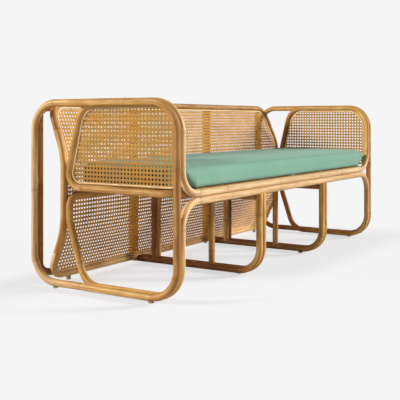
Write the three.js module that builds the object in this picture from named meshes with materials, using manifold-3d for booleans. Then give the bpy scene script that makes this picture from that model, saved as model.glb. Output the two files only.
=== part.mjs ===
// Three-seat garden sofa of bent rattan poles, with woven cane in the arms and the back
// and one long loose seat cushion. Millimetres, +Z up, the front faces -Y, and the origin
// lies on the floor under the middle of the sofa.

import * as THREE from 'three';
import { mergeVertices } from 'three/addons/utils/BufferGeometryUtils.js';
import Module from 'manifold-3d';

const wasm = await Module();
wasm.setup();

// Overall sizes
const overallLength = 1890;
const overallDepth = 710;
const overallHeight = 730;

// Poles: one diameter of rattan throughout, with a hair gap where two of them lie together
const poleDiameter = 28;
const fitGap = 0.3;
const poleSides = 12;
const degreesPerBendStep = 13;

// Glides under the floor poles
const glideHeight = 6;
const glideDiameter = 22;
const glideChamfer = 1.5;
const loopGlideInset = 113;
const backGlideInset = 146;

// End loops and the bows that lie against their inner side
const loopCornerRadius = 110;
const seatRailHeight = 385;
const seatCornerRadius = 95;
const spliceRun = 10;
const sideRailRise = 5;
const seatRearSetback = 158;
const armLeanDegrees = 13.8;
const armTopRearRadius = 95;
const armLowRearRadius = 55;
const legLeanRun = 82;
const legFloorRadius = 90;
const legKneeHeight = 262;
const legKneeRadius = 120;
const legTopRadius = 70;

// Seat frame inside the arms
const seatFrameCornerRadius = 60;
const seatFrameSpliceRun = 60;
const slatCount = 5;
const slatWidth = 90;
const slatThickness = 16;
const slatEdgeRadius = 4;
const slatEndReach = 10;

// Back frame, which is drawn in at the waist behind the seat
const backRailSetback = 44;
const backLowRise = 8;
const backSplay = 12;
const waistHalfHeight = 140;
const waistBendRadius = 270;
const backCornerRadius = 72;
const backSpliceShare = 0.5;
const rearPostRadius = 34;

// Middle frames at the two joints between the three seats
const middleFrameInset = 602;
const middleCornerRadius = 100;
const midPostReach = 250;

// Cane webbing and the thin rods that hold its edge
const caneThickness = 3;
const caneBorder = 30;
const caneBarWidth = 48;
const caneBarHeight = 40;
const armOpeningsAcross = 4;
const backOpeningsAcross = 12;
const caneOpeningsUp = 3;
const trimDiameter = 9;
const trimSides = 6;
const armTrimFrontRadius = 26;

// Seat cushion
const cushionEndGap = 4;
const cushionFrontReach = 4;
const cushionRearGap = 4;
const cushionThickness = 84;
const cushionCrown = 6;
const cushionDrawIn = 5;
const cushionFrontCornerRadius = 16;
const cushionRearCornerRadius = 68;
const cushionGiveLength = 28;
const cushionTopRadius = 22;
const cushionLowRadius = 12;
const cushionCornerSteps = 5;
const cushionSideSteps = 8;
const cushionEndSteps = 4;
const cushionRings = 5;
const coverThickness = 2.5;
const zipHalfWidth = 4;
const zipEndInset = 300;

// Places worked out from those sizes
const poleRadius = poleDiameter / 2;
const pitch = poleDiameter + fitGap;
const loopX = overallLength / 2 - poleRadius;
const bowX = loopX - pitch;
const frontY = poleRadius - overallDepth / 2;
const rearY = -frontY;
const floorZ = glideHeight + poleRadius;
const topZ = overallHeight - poleRadius;
const middleZ = (floorZ + topZ) / 2;
const apronZ = seatRailHeight - pitch;
const crossRailZ = apronZ - pitch;
const sideRailZ = seatRailHeight + sideRailRise;
const innerFrontY = frontY + pitch;
const rearApronY = rearY - seatRearSetback;
const backRailY = rearY - backRailSetback;
const waistY = rearApronY + pitch;
const uprightY = backRailY + pitch;
const waistPostY = waistY - poleRadius - fitGap - caneThickness / 2;
const middleOuterX = loopX - middleFrameInset;
const middleInnerX = middleOuterX - pitch;
const trimRadius = trimDiameter / 2;
const trimInset = poleRadius + fitGap + trimRadius;
const caneInset = trimInset + trimRadius + fitGap;
// The flats of a cutter, and not its corners, keep the hair gap
const cupRadius = (poleRadius + fitGap) / Math.cos(Math.PI / poleSides);

// Finishes
const finishes = {
  rattan: { color: 0xc99a55, roughness: 0.45, metalness: 0 },
  shaded: { color: 0xb98749, roughness: 0.5, metalness: 0 },
  trim: { color: 0xdcb478, roughness: 0.5, metalness: 0 },
  cane: { color: 0xd2ab78, roughness: 0.7, metalness: 0 },
  slat: { color: 0xb08a5a, roughness: 0.7, metalness: 0 },
  fabric: { color: 0x8fb8a0, roughness: 0.95, metalness: 0 },
  foam: { color: 0xf0e8c8, roughness: 0.95, metalness: 0 },
  glide: { color: 0x8d8b86, roughness: 0.6, metalness: 0 },
};

const sofa = new THREE.Group();

function add(name, geometry, finish) {
  const mesh = new THREE.Mesh(geometry, new THREE.MeshStandardMaterial(finishes[finish]));
  mesh.name = name;
  sofa.add(mesh);
}

const at = (x, y, z) => new THREE.Vector3(x, y, z);
const shifted = (point, direction, distance) => point.clone().addScaledVector(direction, distance);
const direction = (from, to) => to.clone().sub(from).normalize();

// Centre line of a bent pole

// Rounds the corners of a line of points. Each corner becomes an arc of its own radius,
// no larger than the straights beside it allow. Gives stations with a point and a tangent.
function bendAlong(corners, radii, closed = false) {
  const stations = [];
  const count = corners.length;
  const place = (point, tangent) => stations.push({ point, tangent });
  for (let i = 0; i < count; i += 1) {
    const isEnd = !closed && (i === 0 || i === count - 1);
    if (isEnd) {
      const tangent = i === 0 ? direction(corners[0], corners[1])
        : direction(corners[count - 2], corners[count - 1]);
      place(corners[i].clone(), tangent);
      continue;
    }
    const before = corners[(i + count - 1) % count];
    const after = corners[(i + 1) % count];
    const inward = direction(before, corners[i]);
    const outward = direction(corners[i], after);
    const turn = inward.angleTo(outward);
    const halfTan = Math.tan(turn / 2);
    // A straight between two corners is shared by both, one that ends the pole is not
    const beforeShare = !closed && i === 1 ? 1 : 0.5;
    const afterShare = !closed && i === count - 2 ? 1 : 0.5;
    const room = Math.min(corners[i].distanceTo(before) * beforeShare,
      corners[i].distanceTo(after) * afterShare);
    const run = Math.min(radii[i] * halfTan, room);
    const start = shifted(corners[i], inward, -run);
    const axis = inward.clone().cross(outward).normalize();
    const steps = Math.max(2, Math.round(THREE.MathUtils.radToDeg(turn) / degreesPerBendStep));
    const toCentre = axis.clone().cross(inward).multiplyScalar(run / halfTan);
    const centre = start.clone().add(toCentre);
    for (let step = 0; step <= steps; step += 1) {
      const angle = turn * step / steps;
      place(toCentre.clone().negate().applyAxisAngle(axis, angle).add(centre),
        inward.clone().applyAxisAngle(axis, angle));
    }
  }
  if (closed) {
    stations.push(stations[0]);
  }
  return stations;
}

// A curve whose even steps fall on the stations, so that straights take no extra rings
class PoleCurve extends THREE.Curve {
  constructor(stations) {
    super();
    this.stations = stations;
  }

  spot(t) {
    const scaled = t * (this.stations.length - 1);
    const index = Math.min(Math.floor(scaled), this.stations.length - 2);
    return { from: this.stations[index], to: this.stations[index + 1], share: scaled - index };
  }

  getPoint(t, target = new THREE.Vector3()) {
    const { from, to, share } = this.spot(t);
    return target.lerpVectors(from.point, to.point, share);
  }

  getPointAt(u, target) {
    return this.getPoint(u, target);
  }

  getTangentAt(u, target = new THREE.Vector3()) {
    const { from, to, share } = this.spot(u);
    return target.lerpVectors(from.tangent, to.tangent, share).normalize();
  }
}

// Round section of a pole or rod, as a regular polygon
function roundSection(radius, sides) {
  const points = [];
  for (let i = 0; i < sides; i += 1) {
    const angle = 2 * Math.PI * i / sides;
    points.push(new THREE.Vector2(radius * Math.cos(angle), radius * Math.sin(angle)));
  }
  return new THREE.Shape(points);
}

function weld(geometry) {
  geometry.deleteAttribute('normal');
  geometry.deleteAttribute('uv');
  const welded = mergeVertices(geometry);
  welded.computeVertexNormals();
  return welded;
}

function rod(stations, radius = poleRadius, sides = poleSides) {
  return weld(new THREE.ExtrudeGeometry(roundSection(radius, sides), {
    steps: stations.length - 1,
    extrudePath: new PoleCurve(stations),
  }));
}

// A ring has no ends, so only the side faces of its extrusion are kept
function ring(stations, radius = poleRadius, sides = poleSides) {
  const extruded = new THREE.ExtrudeGeometry(roundSection(radius, sides), {
    steps: stations.length - 1,
    extrudePath: new PoleCurve(stations),
  });
  const side = extruded.groups[1];
  const positions = extruded.getAttribute('position').array;
  const geometry = new THREE.BufferGeometry();
  geometry.setAttribute('position',
    new THREE.BufferAttribute(positions.slice(side.start * 3, (side.start + side.count) * 3), 3));
  const welded = mergeVertices(geometry, fitGap / 100);
  welded.computeVertexNormals();
  return welded;
}

const straight = (from, to) => bendAlong([from, to], []);

// Solids that are joined or cut

function toSolid(geometry) {
  return new wasm.Manifold(new wasm.Mesh({
    numProp: 3,
    vertProperties: new Float32Array(geometry.getAttribute('position').array),
    triVerts: new Uint32Array(geometry.index.array),
  }));
}

function toGeometry(solid) {
  const mesh = solid.getMesh();
  const geometry = new THREE.BufferGeometry();
  geometry.setAttribute('position', new THREE.BufferAttribute(mesh.vertProperties, 3));
  geometry.setIndex(new THREE.BufferAttribute(mesh.triVerts, 1));
  geometry.computeVertexNormals();
  return geometry;
}

// Cuts a round cup along each line, wide enough for a pole and the hair gap
function cutRound(geometry, lines) {
  let solid = toSolid(geometry);
  for (const line of lines) {
    solid = solid.subtract(toSolid(rod(line, cupRadius)));
  }
  return solid;
}

// A pole whose ends run to the centre lines of the poles that carry it, and are then cupped
// round them with the hair gap between
const copedRod = (stations, carriers) => toGeometry(cutRound(rod(stations), carriers));

const sides = [['left', -1], ['right', 1]];

// End loops: a closed rounded rectangle at each end, one pole bent round and spliced

function endLoopLine(side) {
  const corners = [
    at(side * loopX, frontY, floorZ),
    at(side * loopX, frontY, topZ),
    at(side * loopX, rearY, topZ),
    at(side * loopX, rearY, floorZ),
  ];
  return bendAlong(corners, corners.map(() => loopCornerRadius), true);
}

for (const [hand, side] of sides) {
  add(`${hand}_end_loop`, ring(endLoopLine(side)), 'rattan');
}

// Arm bows: from the front seat rail up the front, over the arm, down the leaning rear of the
// arm and forward into the side rail of the seat

const armLean = THREE.MathUtils.degToRad(armLeanDegrees);
const armLeanShare = Math.tan(armLean);
const armLowRun = armLowRearRadius / Math.tan((Math.PI / 2 - armLean) / 2);
const armLowY = rearApronY - armLowRearRadius + armLowRun;
const armTopY = armLowY - (topZ - sideRailZ) * armLeanShare;
const bowSpliceX = bowX - seatCornerRadius - spliceRun;
const sideRailSpliceY = armLowY - armLowRun - spliceRun;

for (const [hand, side] of sides) {
  add(`${hand}_arm_bow`, rod(bendAlong([
    at(side * bowSpliceX, frontY, seatRailHeight),
    at(side * bowX, frontY, seatRailHeight),
    at(side * bowX, frontY, topZ),
    at(side * bowX, armTopY, topZ),
    at(side * bowX, armLowY, sideRailZ),
    at(side * bowX, sideRailSpliceY, sideRailZ),
  ], [0, seatCornerRadius, loopCornerRadius, armTopRearRadius, armLowRearRadius, 0])), 'rattan');
}

// Side rails: on from the arm bow and round the front corner of the seat frame

const sideRailStartY = sideRailSpliceY - fitGap;
const innerSpliceX = bowX - seatFrameCornerRadius - seatFrameSpliceRun;

for (const [hand, side] of sides) {
  add(`${hand}_side_rail`, rod(bendAlong([
    at(side * bowX, sideRailStartY, sideRailZ),
    at(side * bowX, innerFrontY, seatRailHeight),
    at(side * innerSpliceX, innerFrontY, seatRailHeight),
  ], [0, seatFrameCornerRadius, 0])), 'rattan');
}

// Leg bows: from the front apron down the front, back along the floor, up the leaning rear
// leg and sideways into the rear apron

const legSpliceX = bowX - legTopRadius - spliceRun;

for (const [hand, side] of sides) {
  add(`${hand}_leg_bow`, rod(bendAlong([
    at(side * bowSpliceX, frontY, apronZ),
    at(side * bowX, frontY, apronZ),
    at(side * bowX, frontY, floorZ),
    at(side * bowX, rearApronY - legLeanRun, floorZ),
    at(side * bowX, rearApronY, legKneeHeight),
    at(side * bowX, rearApronY, apronZ),
    at(side * legSpliceX, rearApronY, apronZ),
  ], [0, seatCornerRadius, loopCornerRadius, legFloorRadius, legKneeRadius, legTopRadius, 0])),
  'rattan');
}

// Long rails between the bows

function longRail(name, halfLength, y, z) {
  add(name, rod(straight(at(-halfLength, y, z), at(halfLength, y, z))), 'rattan');
}

longRail('front_seat_rail', bowSpliceX - fitGap, frontY, seatRailHeight);
longRail('front_apron_rail', bowSpliceX - fitGap, frontY, apronZ);
longRail('rear_apron_rail', legSpliceX - fitGap, rearApronY, apronZ);
longRail('inner_front_rail', innerSpliceX - fitGap, innerFrontY, seatRailHeight);
longRail('rear_seat_rail', legSpliceX, rearApronY, seatRailHeight);

// Back frame: top and bottom rails with rounded corners, and side poles with the waist

function backCorner(side, level, inset = 0) {
  const height = level > 0 ? topZ : floorZ + backLowRise;
  const corner = at(side * (bowX - backSplay), backRailY, height);
  const toWaist = direction(corner, backWaist(side, level));
  return shifted(shifted(corner, at(-side, 0, 0), inset), toWaist, inset);
}

function backWaist(side, level, inset = 0) {
  return at(side * (bowX - inset), waistY, middleZ + level * waistHalfHeight);
}

function backSplice(side, level) {
  return backCorner(side, level).lerp(backWaist(side, level), backSpliceShare);
}

function backRailLine(level) {
  return bendAlong([
    backSplice(-1, level),
    backCorner(-1, level),
    backCorner(1, level),
    backSplice(1, level),
  ], [0, backCornerRadius, backCornerRadius, 0]);
}

add('back_top_rail', rod(backRailLine(1)), 'rattan');
add('back_bottom_rail', rod(backRailLine(-1)), 'rattan');

for (const [hand, side] of sides) {
  const low = direction(backCorner(side, -1), backWaist(side, -1));
  const high = direction(backCorner(side, 1), backWaist(side, 1));
  add(`${hand}_back_side_pole`, rod(bendAlong([
    shifted(backSplice(side, -1), low, fitGap),
    backWaist(side, -1),
    backWaist(side, 1),
    shifted(backSplice(side, 1), high, fitGap),
  ], [0, waistBendRadius, waistBendRadius, 0])), 'rattan');
}

// Rear posts: beside the rear of each end loop, cupped on to the corners of the back frame

function middleOfBend(side, level) {
  const corner = backCorner(side, level);
  const inward = direction(backWaist(side, level), corner);
  const outward = at(-side, 0, 0);
  const toCentre = outward.clone().sub(inward).normalize();
  const turn = inward.angleTo(outward);
  return shifted(corner, toCentre, backCornerRadius * (1 / Math.cos(turn / 2) - 1));
}

for (const [hand, side] of sides) {
  const low = middleOfBend(side, -1);
  const high = middleOfBend(side, 1);
  add(`${hand}_rear_post`, copedRod(bendAlong([
    low,
    at(side * bowX, rearY, low.z),
    at(side * bowX, rearY, high.z),
    high,
  ], [0, rearPostRadius, rearPostRadius, 0]), [backRailLine(-1), backRailLine(1)]), 'shaded');
}

// Middle frames: a pair of poles down the front and back along the floor, a pair of uprights
// behind the back, a cross rail under the aprons, and the posts that stand on the floor poles

const frontApronLine = straight(at(-loopX, frontY, apronZ), at(loopX, frontY, apronZ));
const middlePoleLine = (x) => bendAlong([
  at(x, frontY, apronZ),
  at(x, frontY, floorZ),
  at(x, backRailY, floorZ),
], [0, middleCornerRadius, 0]);
const crossRailLine = (x) => straight(at(x, frontY, crossRailZ), at(x, waistPostY, crossRailZ));
const frontPostLine = (x) => straight(at(x, frontY, apronZ), at(x, frontY, floorZ));
const waistPostLine = (x) => straight(at(x, waistPostY, floorZ), at(x, waistPostY, apronZ));
const rearApronLine = straight(at(-loopX, rearApronY, apronZ), at(loopX, rearApronY, apronZ));

for (const [hand, side] of sides) {
  for (const [place, x] of [['outer', side * middleOuterX], ['inner', side * middleInnerX]]) {
    add(`${hand}_middle_${place}_pole`,
      copedRod(middlePoleLine(x), [frontApronLine, backRailLine(-1)]), 'rattan');
    add(`${hand}_back_${place}_upright`,
      rod(straight(at(x, uprightY, glideHeight), at(x, uprightY, topZ))), 'shaded');
    add(`${hand}_waist_${place}_post`,
      copedRod(waistPostLine(x), [middlePoleLine(x), rearApronLine]), 'shaded');
  }
  const x = side * middleInnerX;
  add(`${hand}_cross_rail`, copedRod(crossRailLine(x), [frontPostLine(x), waistPostLine(x)]), 'shaded');
  add(`${hand}_mid_post`, copedRod(straight(at(x, frontY + midPostReach, floorZ),
    at(x, frontY + midPostReach, crossRailZ)), [middlePoleLine(x), crossRailLine(x)]), 'rattan');
}

// Seat slats: between the inner front rail and the rear seat rail

function slatSection() {
  const halfWidth = slatWidth / 2;
  const halfThickness = slatThickness / 2;
  const shape = new THREE.Shape();
  const corner = slatEdgeRadius;
  shape.moveTo(corner - halfWidth, -halfThickness);
  shape.lineTo(halfWidth - corner, -halfThickness);
  shape.quadraticCurveTo(halfWidth, -halfThickness, halfWidth, corner - halfThickness);
  shape.lineTo(halfWidth, halfThickness - corner);
  shape.quadraticCurveTo(halfWidth, halfThickness, halfWidth - corner, halfThickness);
  shape.lineTo(corner - halfWidth, halfThickness);
  shape.quadraticCurveTo(-halfWidth, halfThickness, -halfWidth, halfThickness - corner);
  shape.lineTo(-halfWidth, corner - halfThickness);
  shape.quadraticCurveTo(-halfWidth, -halfThickness, corner - halfWidth, -halfThickness);
  return shape;
}

const slatLength = rearApronY - innerFrontY - 2 * slatEndReach;
const slatZ = seatRailHeight + poleRadius - slatThickness / 2;
const slatPitch = 2 * innerSpliceX / slatCount;

for (let i = 0; i < slatCount; i += 1) {
  const slat = new THREE.ExtrudeGeometry(slatSection(),
    { depth: slatLength, bevelEnabled: false, curveSegments: 2 });
  slat.rotateX(Math.PI / 2);
  slat.translate(slatPitch * (i + 0.5) - innerSpliceX, rearApronY - slatEndReach, slatZ);
  const railLines = [innerFrontY, rearApronY]
    .map((y) => straight(at(-loopX, y, seatRailHeight), at(loopX, y, seatRailHeight)));
  add(`seat_slat_${i + 1}`, toGeometry(cutRound(weld(slat), railLines)), 'slat');
}

// Cane in the arms: a flat sheet inside a rod that follows the arm frame

// The arm frame as a four-sided outline, with every side moved inward by the inset
function armOutline(side, inset) {
  const leanRun = inset / Math.cos(armLean);
  const levelRun = inset * armLeanShare;
  const x = side * bowX;
  return [
    at(x, frontY + inset, sideRailZ + inset),
    at(x, frontY + inset, topZ - inset),
    at(x, armTopY - leanRun + levelRun, topZ - inset),
    at(x, armLowY - leanRun - levelRun, sideRailZ + inset),
  ];
}

const armOutlineRadii = (inset) => [
  armTrimFrontRadius - (inset - trimInset),
  loopCornerRadius - inset,
  armTopRearRadius - inset,
  armLowRearRadius - inset,
];

// A plain grid stands for the open weave: the first and last place of each opening along a line
function openingSpans(from, to, count, bar) {
  const width = (to - from - (count - 1) * bar) / count;
  return Array.from({ length: count }, (_, i) => {
    const start = from + i * (width + bar);
    return [start, start + width];
  });
}

// Openings in the arm sheet. The bars lean with the rear of the arm, less and less towards the front.
function armOpenings() {
  const [, , topRear, lowRear] = armOutline(1, caneInset + caneBorder);
  const startY = frontY + caneInset + caneBorder;
  const rearAt = (z) => THREE.MathUtils.mapLinear(z, lowRear.z, topRear.z, lowRear.y, topRear.y);
  const openings = [];
  for (const [lowZ, highZ] of openingSpans(lowRear.z, topRear.z, caneOpeningsUp, caneBarHeight)) {
    const low = openingSpans(startY, rearAt(lowZ), armOpeningsAcross, caneBarWidth);
    const high = openingSpans(startY, rearAt(highZ), armOpeningsAcross, caneBarWidth);
    low.forEach(([from, to], i) => {
      openings.push(new THREE.Shape([
        new THREE.Vector2(from, lowZ),
        new THREE.Vector2(to, lowZ),
        new THREE.Vector2(high[i][1], highZ),
        new THREE.Vector2(high[i][0], highZ),
      ]));
    });
  }
  return openings;
}

// A flat outline in the plane of the arm, with its thickness centred on the bow
function armPlate(side, outline, thickness) {
  const plate = new THREE.ExtrudeGeometry(outline, { depth: thickness, bevelEnabled: false });
  plate.applyMatrix4(new THREE.Matrix4().makeBasis(at(0, 1, 0), at(0, 0, 1), at(1, 0, 0)));
  plate.translate(side * bowX - thickness / 2, 0, 0);
  return toSolid(weld(plate));
}

for (const [hand, side] of sides) {
  const trimLine = bendAlong(armOutline(side, trimInset), armOutlineRadii(trimInset), true);
  add(`${hand}_arm_trim`, ring(trimLine, trimRadius, trimSides), 'trim');
  const edge = bendAlong(armOutline(side, caneInset), armOutlineRadii(caneInset), true).slice(0, -1);
  const outline = new THREE.Shape(edge.map(({ point }) => new THREE.Vector2(point.y, point.z)));
  let sheet = armPlate(side, outline, caneThickness);
  for (const opening of armOpenings()) {
    sheet = sheet.subtract(armPlate(side, opening, poleDiameter));
  }
  add(`${hand}_arm_cane`, toGeometry(sheet), 'cane');
}

// Cane in the back: a sheet that follows the waist, in an upper and a lower half that meet
// behind the seat, with a rod round each half

function backEdge(side, level, inset) {
  const radii = [0, waistBendRadius, backCornerRadius - inset, 0];
  return bendAlong([
    at(side * (bowX - inset), waistY, middleZ + level * fitGap),
    backWaist(side, level, inset),
    backCorner(side, level, inset),
    at(0, backCorner(side, level, inset).y, backCorner(side, level, inset).z),
  ], radii);
}

// Joins rows of four points, each the end of a thin sheet, into one closed sheet
function sheetThrough(rows) {
  const positions = [];
  const faces = [];
  for (const { point } of rows) {
    const front = point.y - caneThickness / 2;
    const rear = point.y + caneThickness / 2;
    positions.push(point.x, front, point.z, -point.x, front, point.z);
    positions.push(-point.x, rear, point.z, point.x, rear, point.z);
  }
  for (let row = 0; row + 1 < rows.length; row += 1) {
    for (let i = 0; i < 4; i += 1) {
      const a = row * 4 + i;
      const b = row * 4 + (i + 1) % 4;
      faces.push(a, b, a + 4, b, b + 4, a + 4);
    }
  }
  const last = (rows.length - 1) * 4;
  faces.push(0, 3, 2, 0, 2, 1, last, last + 1, last + 2, last, last + 2, last + 3);
  const geometry = new THREE.BufferGeometry();
  geometry.setAttribute('position', new THREE.BufferAttribute(new Float32Array(positions), 3));
  geometry.setIndex(faces);
  geometry.computeVertexNormals();
  return geometry;
}

function backTrim(level) {
  const right = backEdge(1, level, trimInset);
  const left = backEdge(-1, level, trimInset).reverse().slice(1)
    .map(({ point, tangent }) => ({ point, tangent: tangent.clone().negate() }));
  return rod([...right, ...left], trimRadius, trimSides);
}

// The back sheet, with straight openings cut through it from front to rear
function backCane(level) {
  const rows = backEdge(-1, level, caneInset).slice(0, -1);
  let sheet = toSolid(sheetThrough(level > 0 ? rows : rows.reverse()));
  const { x: farX, y: farY, z: farZ } = backCorner(1, level, caneInset + caneBorder);
  const nearZ = middleZ + level * caneBarHeight / 2;
  const depth = farY - waistY + poleDiameter;
  for (const [low, high] of openingSpans(-farX, farX, backOpeningsAcross, caneBarWidth)) {
    for (const [near, far] of openingSpans(nearZ, farZ, caneOpeningsUp, level * caneBarHeight)) {
      const cutter = new THREE.BoxGeometry(high - low, 2 * depth, Math.abs(far - near));
      cutter.translate((low + high) / 2, waistY, (near + far) / 2);
      sheet = sheet.subtract(toSolid(weld(cutter)));
    }
  }
  return toGeometry(sheet);
}

for (const [half, level] of [['upper', 1], ['lower', -1]]) {
  add(`back_${half}_trim`, backTrim(level), 'trim');
  add(`back_${half}_cane`, backCane(level), 'cane');
}

// Seat cushion: a box cushion with rounded corners and edges, a crowned top and sides that
// draw in between the corners, in a sewn cover with a zip slit along the rear

const cushionHalfLength = bowX - poleRadius - cushionEndGap;
const cushionFrontY = frontY + cushionFrontReach;
const cushionRearY = waistY - poleRadius - cushionRearGap;
const cushionHalfDepth = (cushionRearY - cushionFrontY) / 2;
const cushionLowZ = seatRailHeight + poleRadius + fitGap;
const cushionTopZ = cushionLowZ + cushionThickness;

// One closed ring of the outline in plan, drawn in by the inset, with the same number of
// points whatever the inset
function cushionRing(inset) {
  const halfX = cushionHalfLength - inset;
  const halfY = cushionHalfDepth - inset;
  const corners = [[1, 1], [-1, 1], [-1, -1], [1, -1]].map(([signX, signY], corner) => {
    const wanted = signY > 0 ? cushionRearCornerRadius : cushionFrontCornerRadius;
    const radius = Math.max(wanted - inset, 0);
    return Array.from({ length: cushionCornerSteps + 1 }, (_, i) => {
      const angle = (corner + i / cushionCornerSteps) * Math.PI / 2;
      return [signX * (halfX - radius) + radius * Math.cos(angle),
        signY * (halfY - radius) + radius * Math.sin(angle)];
    });
  });
  return corners.flatMap((corner, index) => {
    const [fromX, fromY] = corner[corner.length - 1];
    const [toX, toY] = corners[(index + 1) % corners.length][0];
    const sideSteps = index % 2 ? cushionEndSteps : cushionSideSteps;
    const side = Array.from({ length: sideSteps - 1 }, (_, i) => {
      const share = (1 - Math.cos((i + 1) / sideSteps * Math.PI)) / 2;
      return [fromX + (toX - fromX) * share, fromY + (toY - fromY) * share];
    });
    return [...corner, ...side];
  });
}

// Rings from the middle of the underside, round the edge, to the middle of the top
function cushionProfile(shell) {
  const lowZ = cushionLowZ + shell;
  const highZ = cushionTopZ - shell;
  const lowRadius = cushionLowRadius - shell;
  const topRadius = cushionTopRadius - shell;
  const profile = [];
  for (let i = 0; i < cushionRings; i += 1) {
    const share = 1 - i / cushionRings;
    profile.push([shell + lowRadius + (cushionHalfDepth - shell - lowRadius) * share ** 2, lowZ]);
  }
  for (let i = 0; i <= cushionRings; i += 1) {
    const angle = i / cushionRings * Math.PI / 2;
    profile.push([shell + lowRadius * (1 - Math.sin(angle)), lowZ + lowRadius * (1 - Math.cos(angle))]);
  }
  for (let i = 0; i <= cushionRings; i += 1) {
    const angle = i / cushionRings * Math.PI / 2;
    profile.push([shell + topRadius * (1 - Math.cos(angle)), highZ - topRadius * (1 - Math.sin(angle))]);
  }
  for (let i = 1; i <= cushionRings; i += 1) {
    const share = i / cushionRings;
    profile.push([shell + topRadius + (cushionHalfDepth - shell - topRadius) * share ** 2, highZ]);
  }
  return profile;
}

// The lower front corners give way to the bends between the front seat rail and the arms
const bendRoom = seatCornerRadius - poleRadius - cushionEndGap;

function besideBend(x, y, z, shell) {
  const level = (z - cushionLowZ - shell) / (cushionThickness - 2 * shell);
  const height = cushionLowZ + level * cushionThickness;
  const below = THREE.MathUtils.clamp(seatRailHeight + seatCornerRadius - height, 0, bendRoom);
  const reach = bowX - seatCornerRadius - shell + Math.sqrt(bendRoom ** 2 - below ** 2);
  const give = 1 - THREE.MathUtils.smoothstep(y + cushionHalfDepth, cushionFrontCornerRadius,
    cushionFrontCornerRadius + cushionGiveLength);
  return Math.sign(x) * (Math.abs(x) - Math.max(Math.abs(x) - reach, 0) * give);
}

function cushionForm(shell) {
  const rings = cushionProfile(shell).map(([inset, z]) => cushionRing(inset).map(([x, y]) => {
    const alongX = 1 - (x / cushionHalfLength) ** 2;
    const alongY = 1 - (y / cushionHalfDepth) ** 2;
    const level = (z - cushionLowZ) / cushionThickness;
    const drawX = cushionDrawIn * alongY * Math.sign(x) * (1 - alongX) ** 4;
    const drawY = cushionDrawIn * alongX * Math.sign(y) * (1 - alongY) ** 4;
    return [besideBend(x - drawX, y, z, shell), y - drawY,
      z + cushionCrown * Math.max(alongX * alongY, 0) * level ** 4];
  }));
  const positions = rings.flat(2);
  const count = rings[0].length;
  const faces = [];
  for (let ring = 0; ring + 1 < rings.length; ring += 1) {
    for (let i = 0; i < count; i += 1) {
      const next = (i + 1) % count;
      const a = ring * count + i;
      const b = ring * count + next;
      faces.push([a, b, b + count], [a, b + count, a + count]);
    }
  }
  const form = new THREE.BufferGeometry();
  form.setAttribute('position', new THREE.BufferAttribute(new Float32Array(positions), 3));
  form.setIndex(faces.flat());
  form.translate(0, (cushionFrontY + cushionRearY) / 2, 0);
  return dropFlatFaces(mergeVertices(form, fitGap / 100));
}

// The first and last rings fold on to a line, so the faces that vanish there are left out
function dropFlatFaces(geometry) {
  const index = geometry.index.array;
  const kept = [];
  for (let i = 0; i < index.length; i += 3) {
    const [a, b, c] = [index[i], index[i + 1], index[i + 2]];
    if (a !== b && b !== c && c !== a) {
      kept.push(a, b, c);
    }
  }
  geometry.setIndex(kept);
  geometry.computeVertexNormals();
  return geometry;
}

const zipSlit = new THREE.BoxGeometry(2 * (cushionHalfLength - zipEndInset),
  2 * (coverThickness + cushionDrawIn), 2 * zipHalfWidth);
zipSlit.translate(0, cushionRearY - coverThickness, cushionLowZ + cushionThickness / 2);

add('cushion_cover', toGeometry(toSolid(cushionForm(0))
  .subtract(toSolid(cushionForm(coverThickness)))
  .subtract(toSolid(weld(zipSlit)))), 'fabric');
add('cushion_foam', cushionForm(coverThickness + fitGap), 'foam');

// Glides: turned discs under the floor poles

function glide(name, x, y, height = glideHeight) {
  const top = height - fitGap;
  const radius = glideDiameter / 2;
  const disc = new THREE.LatheGeometry([
    new THREE.Vector2(0, 0),
    new THREE.Vector2(radius - glideChamfer, 0),
    new THREE.Vector2(radius, glideChamfer),
    new THREE.Vector2(radius, top),
    new THREE.Vector2(0, top),
  ], poleSides);
  disc.rotateX(Math.PI / 2);
  disc.translate(x, y, 0);
  add(name, weld(disc), 'glide');
}

for (const [hand, side] of sides) {
  glide(`${hand}_loop_front_glide`, side * loopX, frontY + loopGlideInset);
  glide(`${hand}_loop_rear_glide`, side * loopX, rearY - loopGlideInset);
  glide(`${hand}_middle_front_glide`, side * middleInnerX, frontY + loopGlideInset);
  glide(`${hand}_middle_rear_glide`, side * middleInnerX, uprightY);
  glide(`${hand}_back_glide`, side * (loopX - backGlideInset), backRailY, glideHeight + backLowRise);
}

export default sofa;
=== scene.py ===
"""Looks of a three-seat garden sofa of bent rattan poles, cane webbing and one seat cushion.

The sofa stands on the floor with the middle of its length and depth at the origin. Its front
faces -Y. All lengths are in metres.
"""

import math

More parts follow.
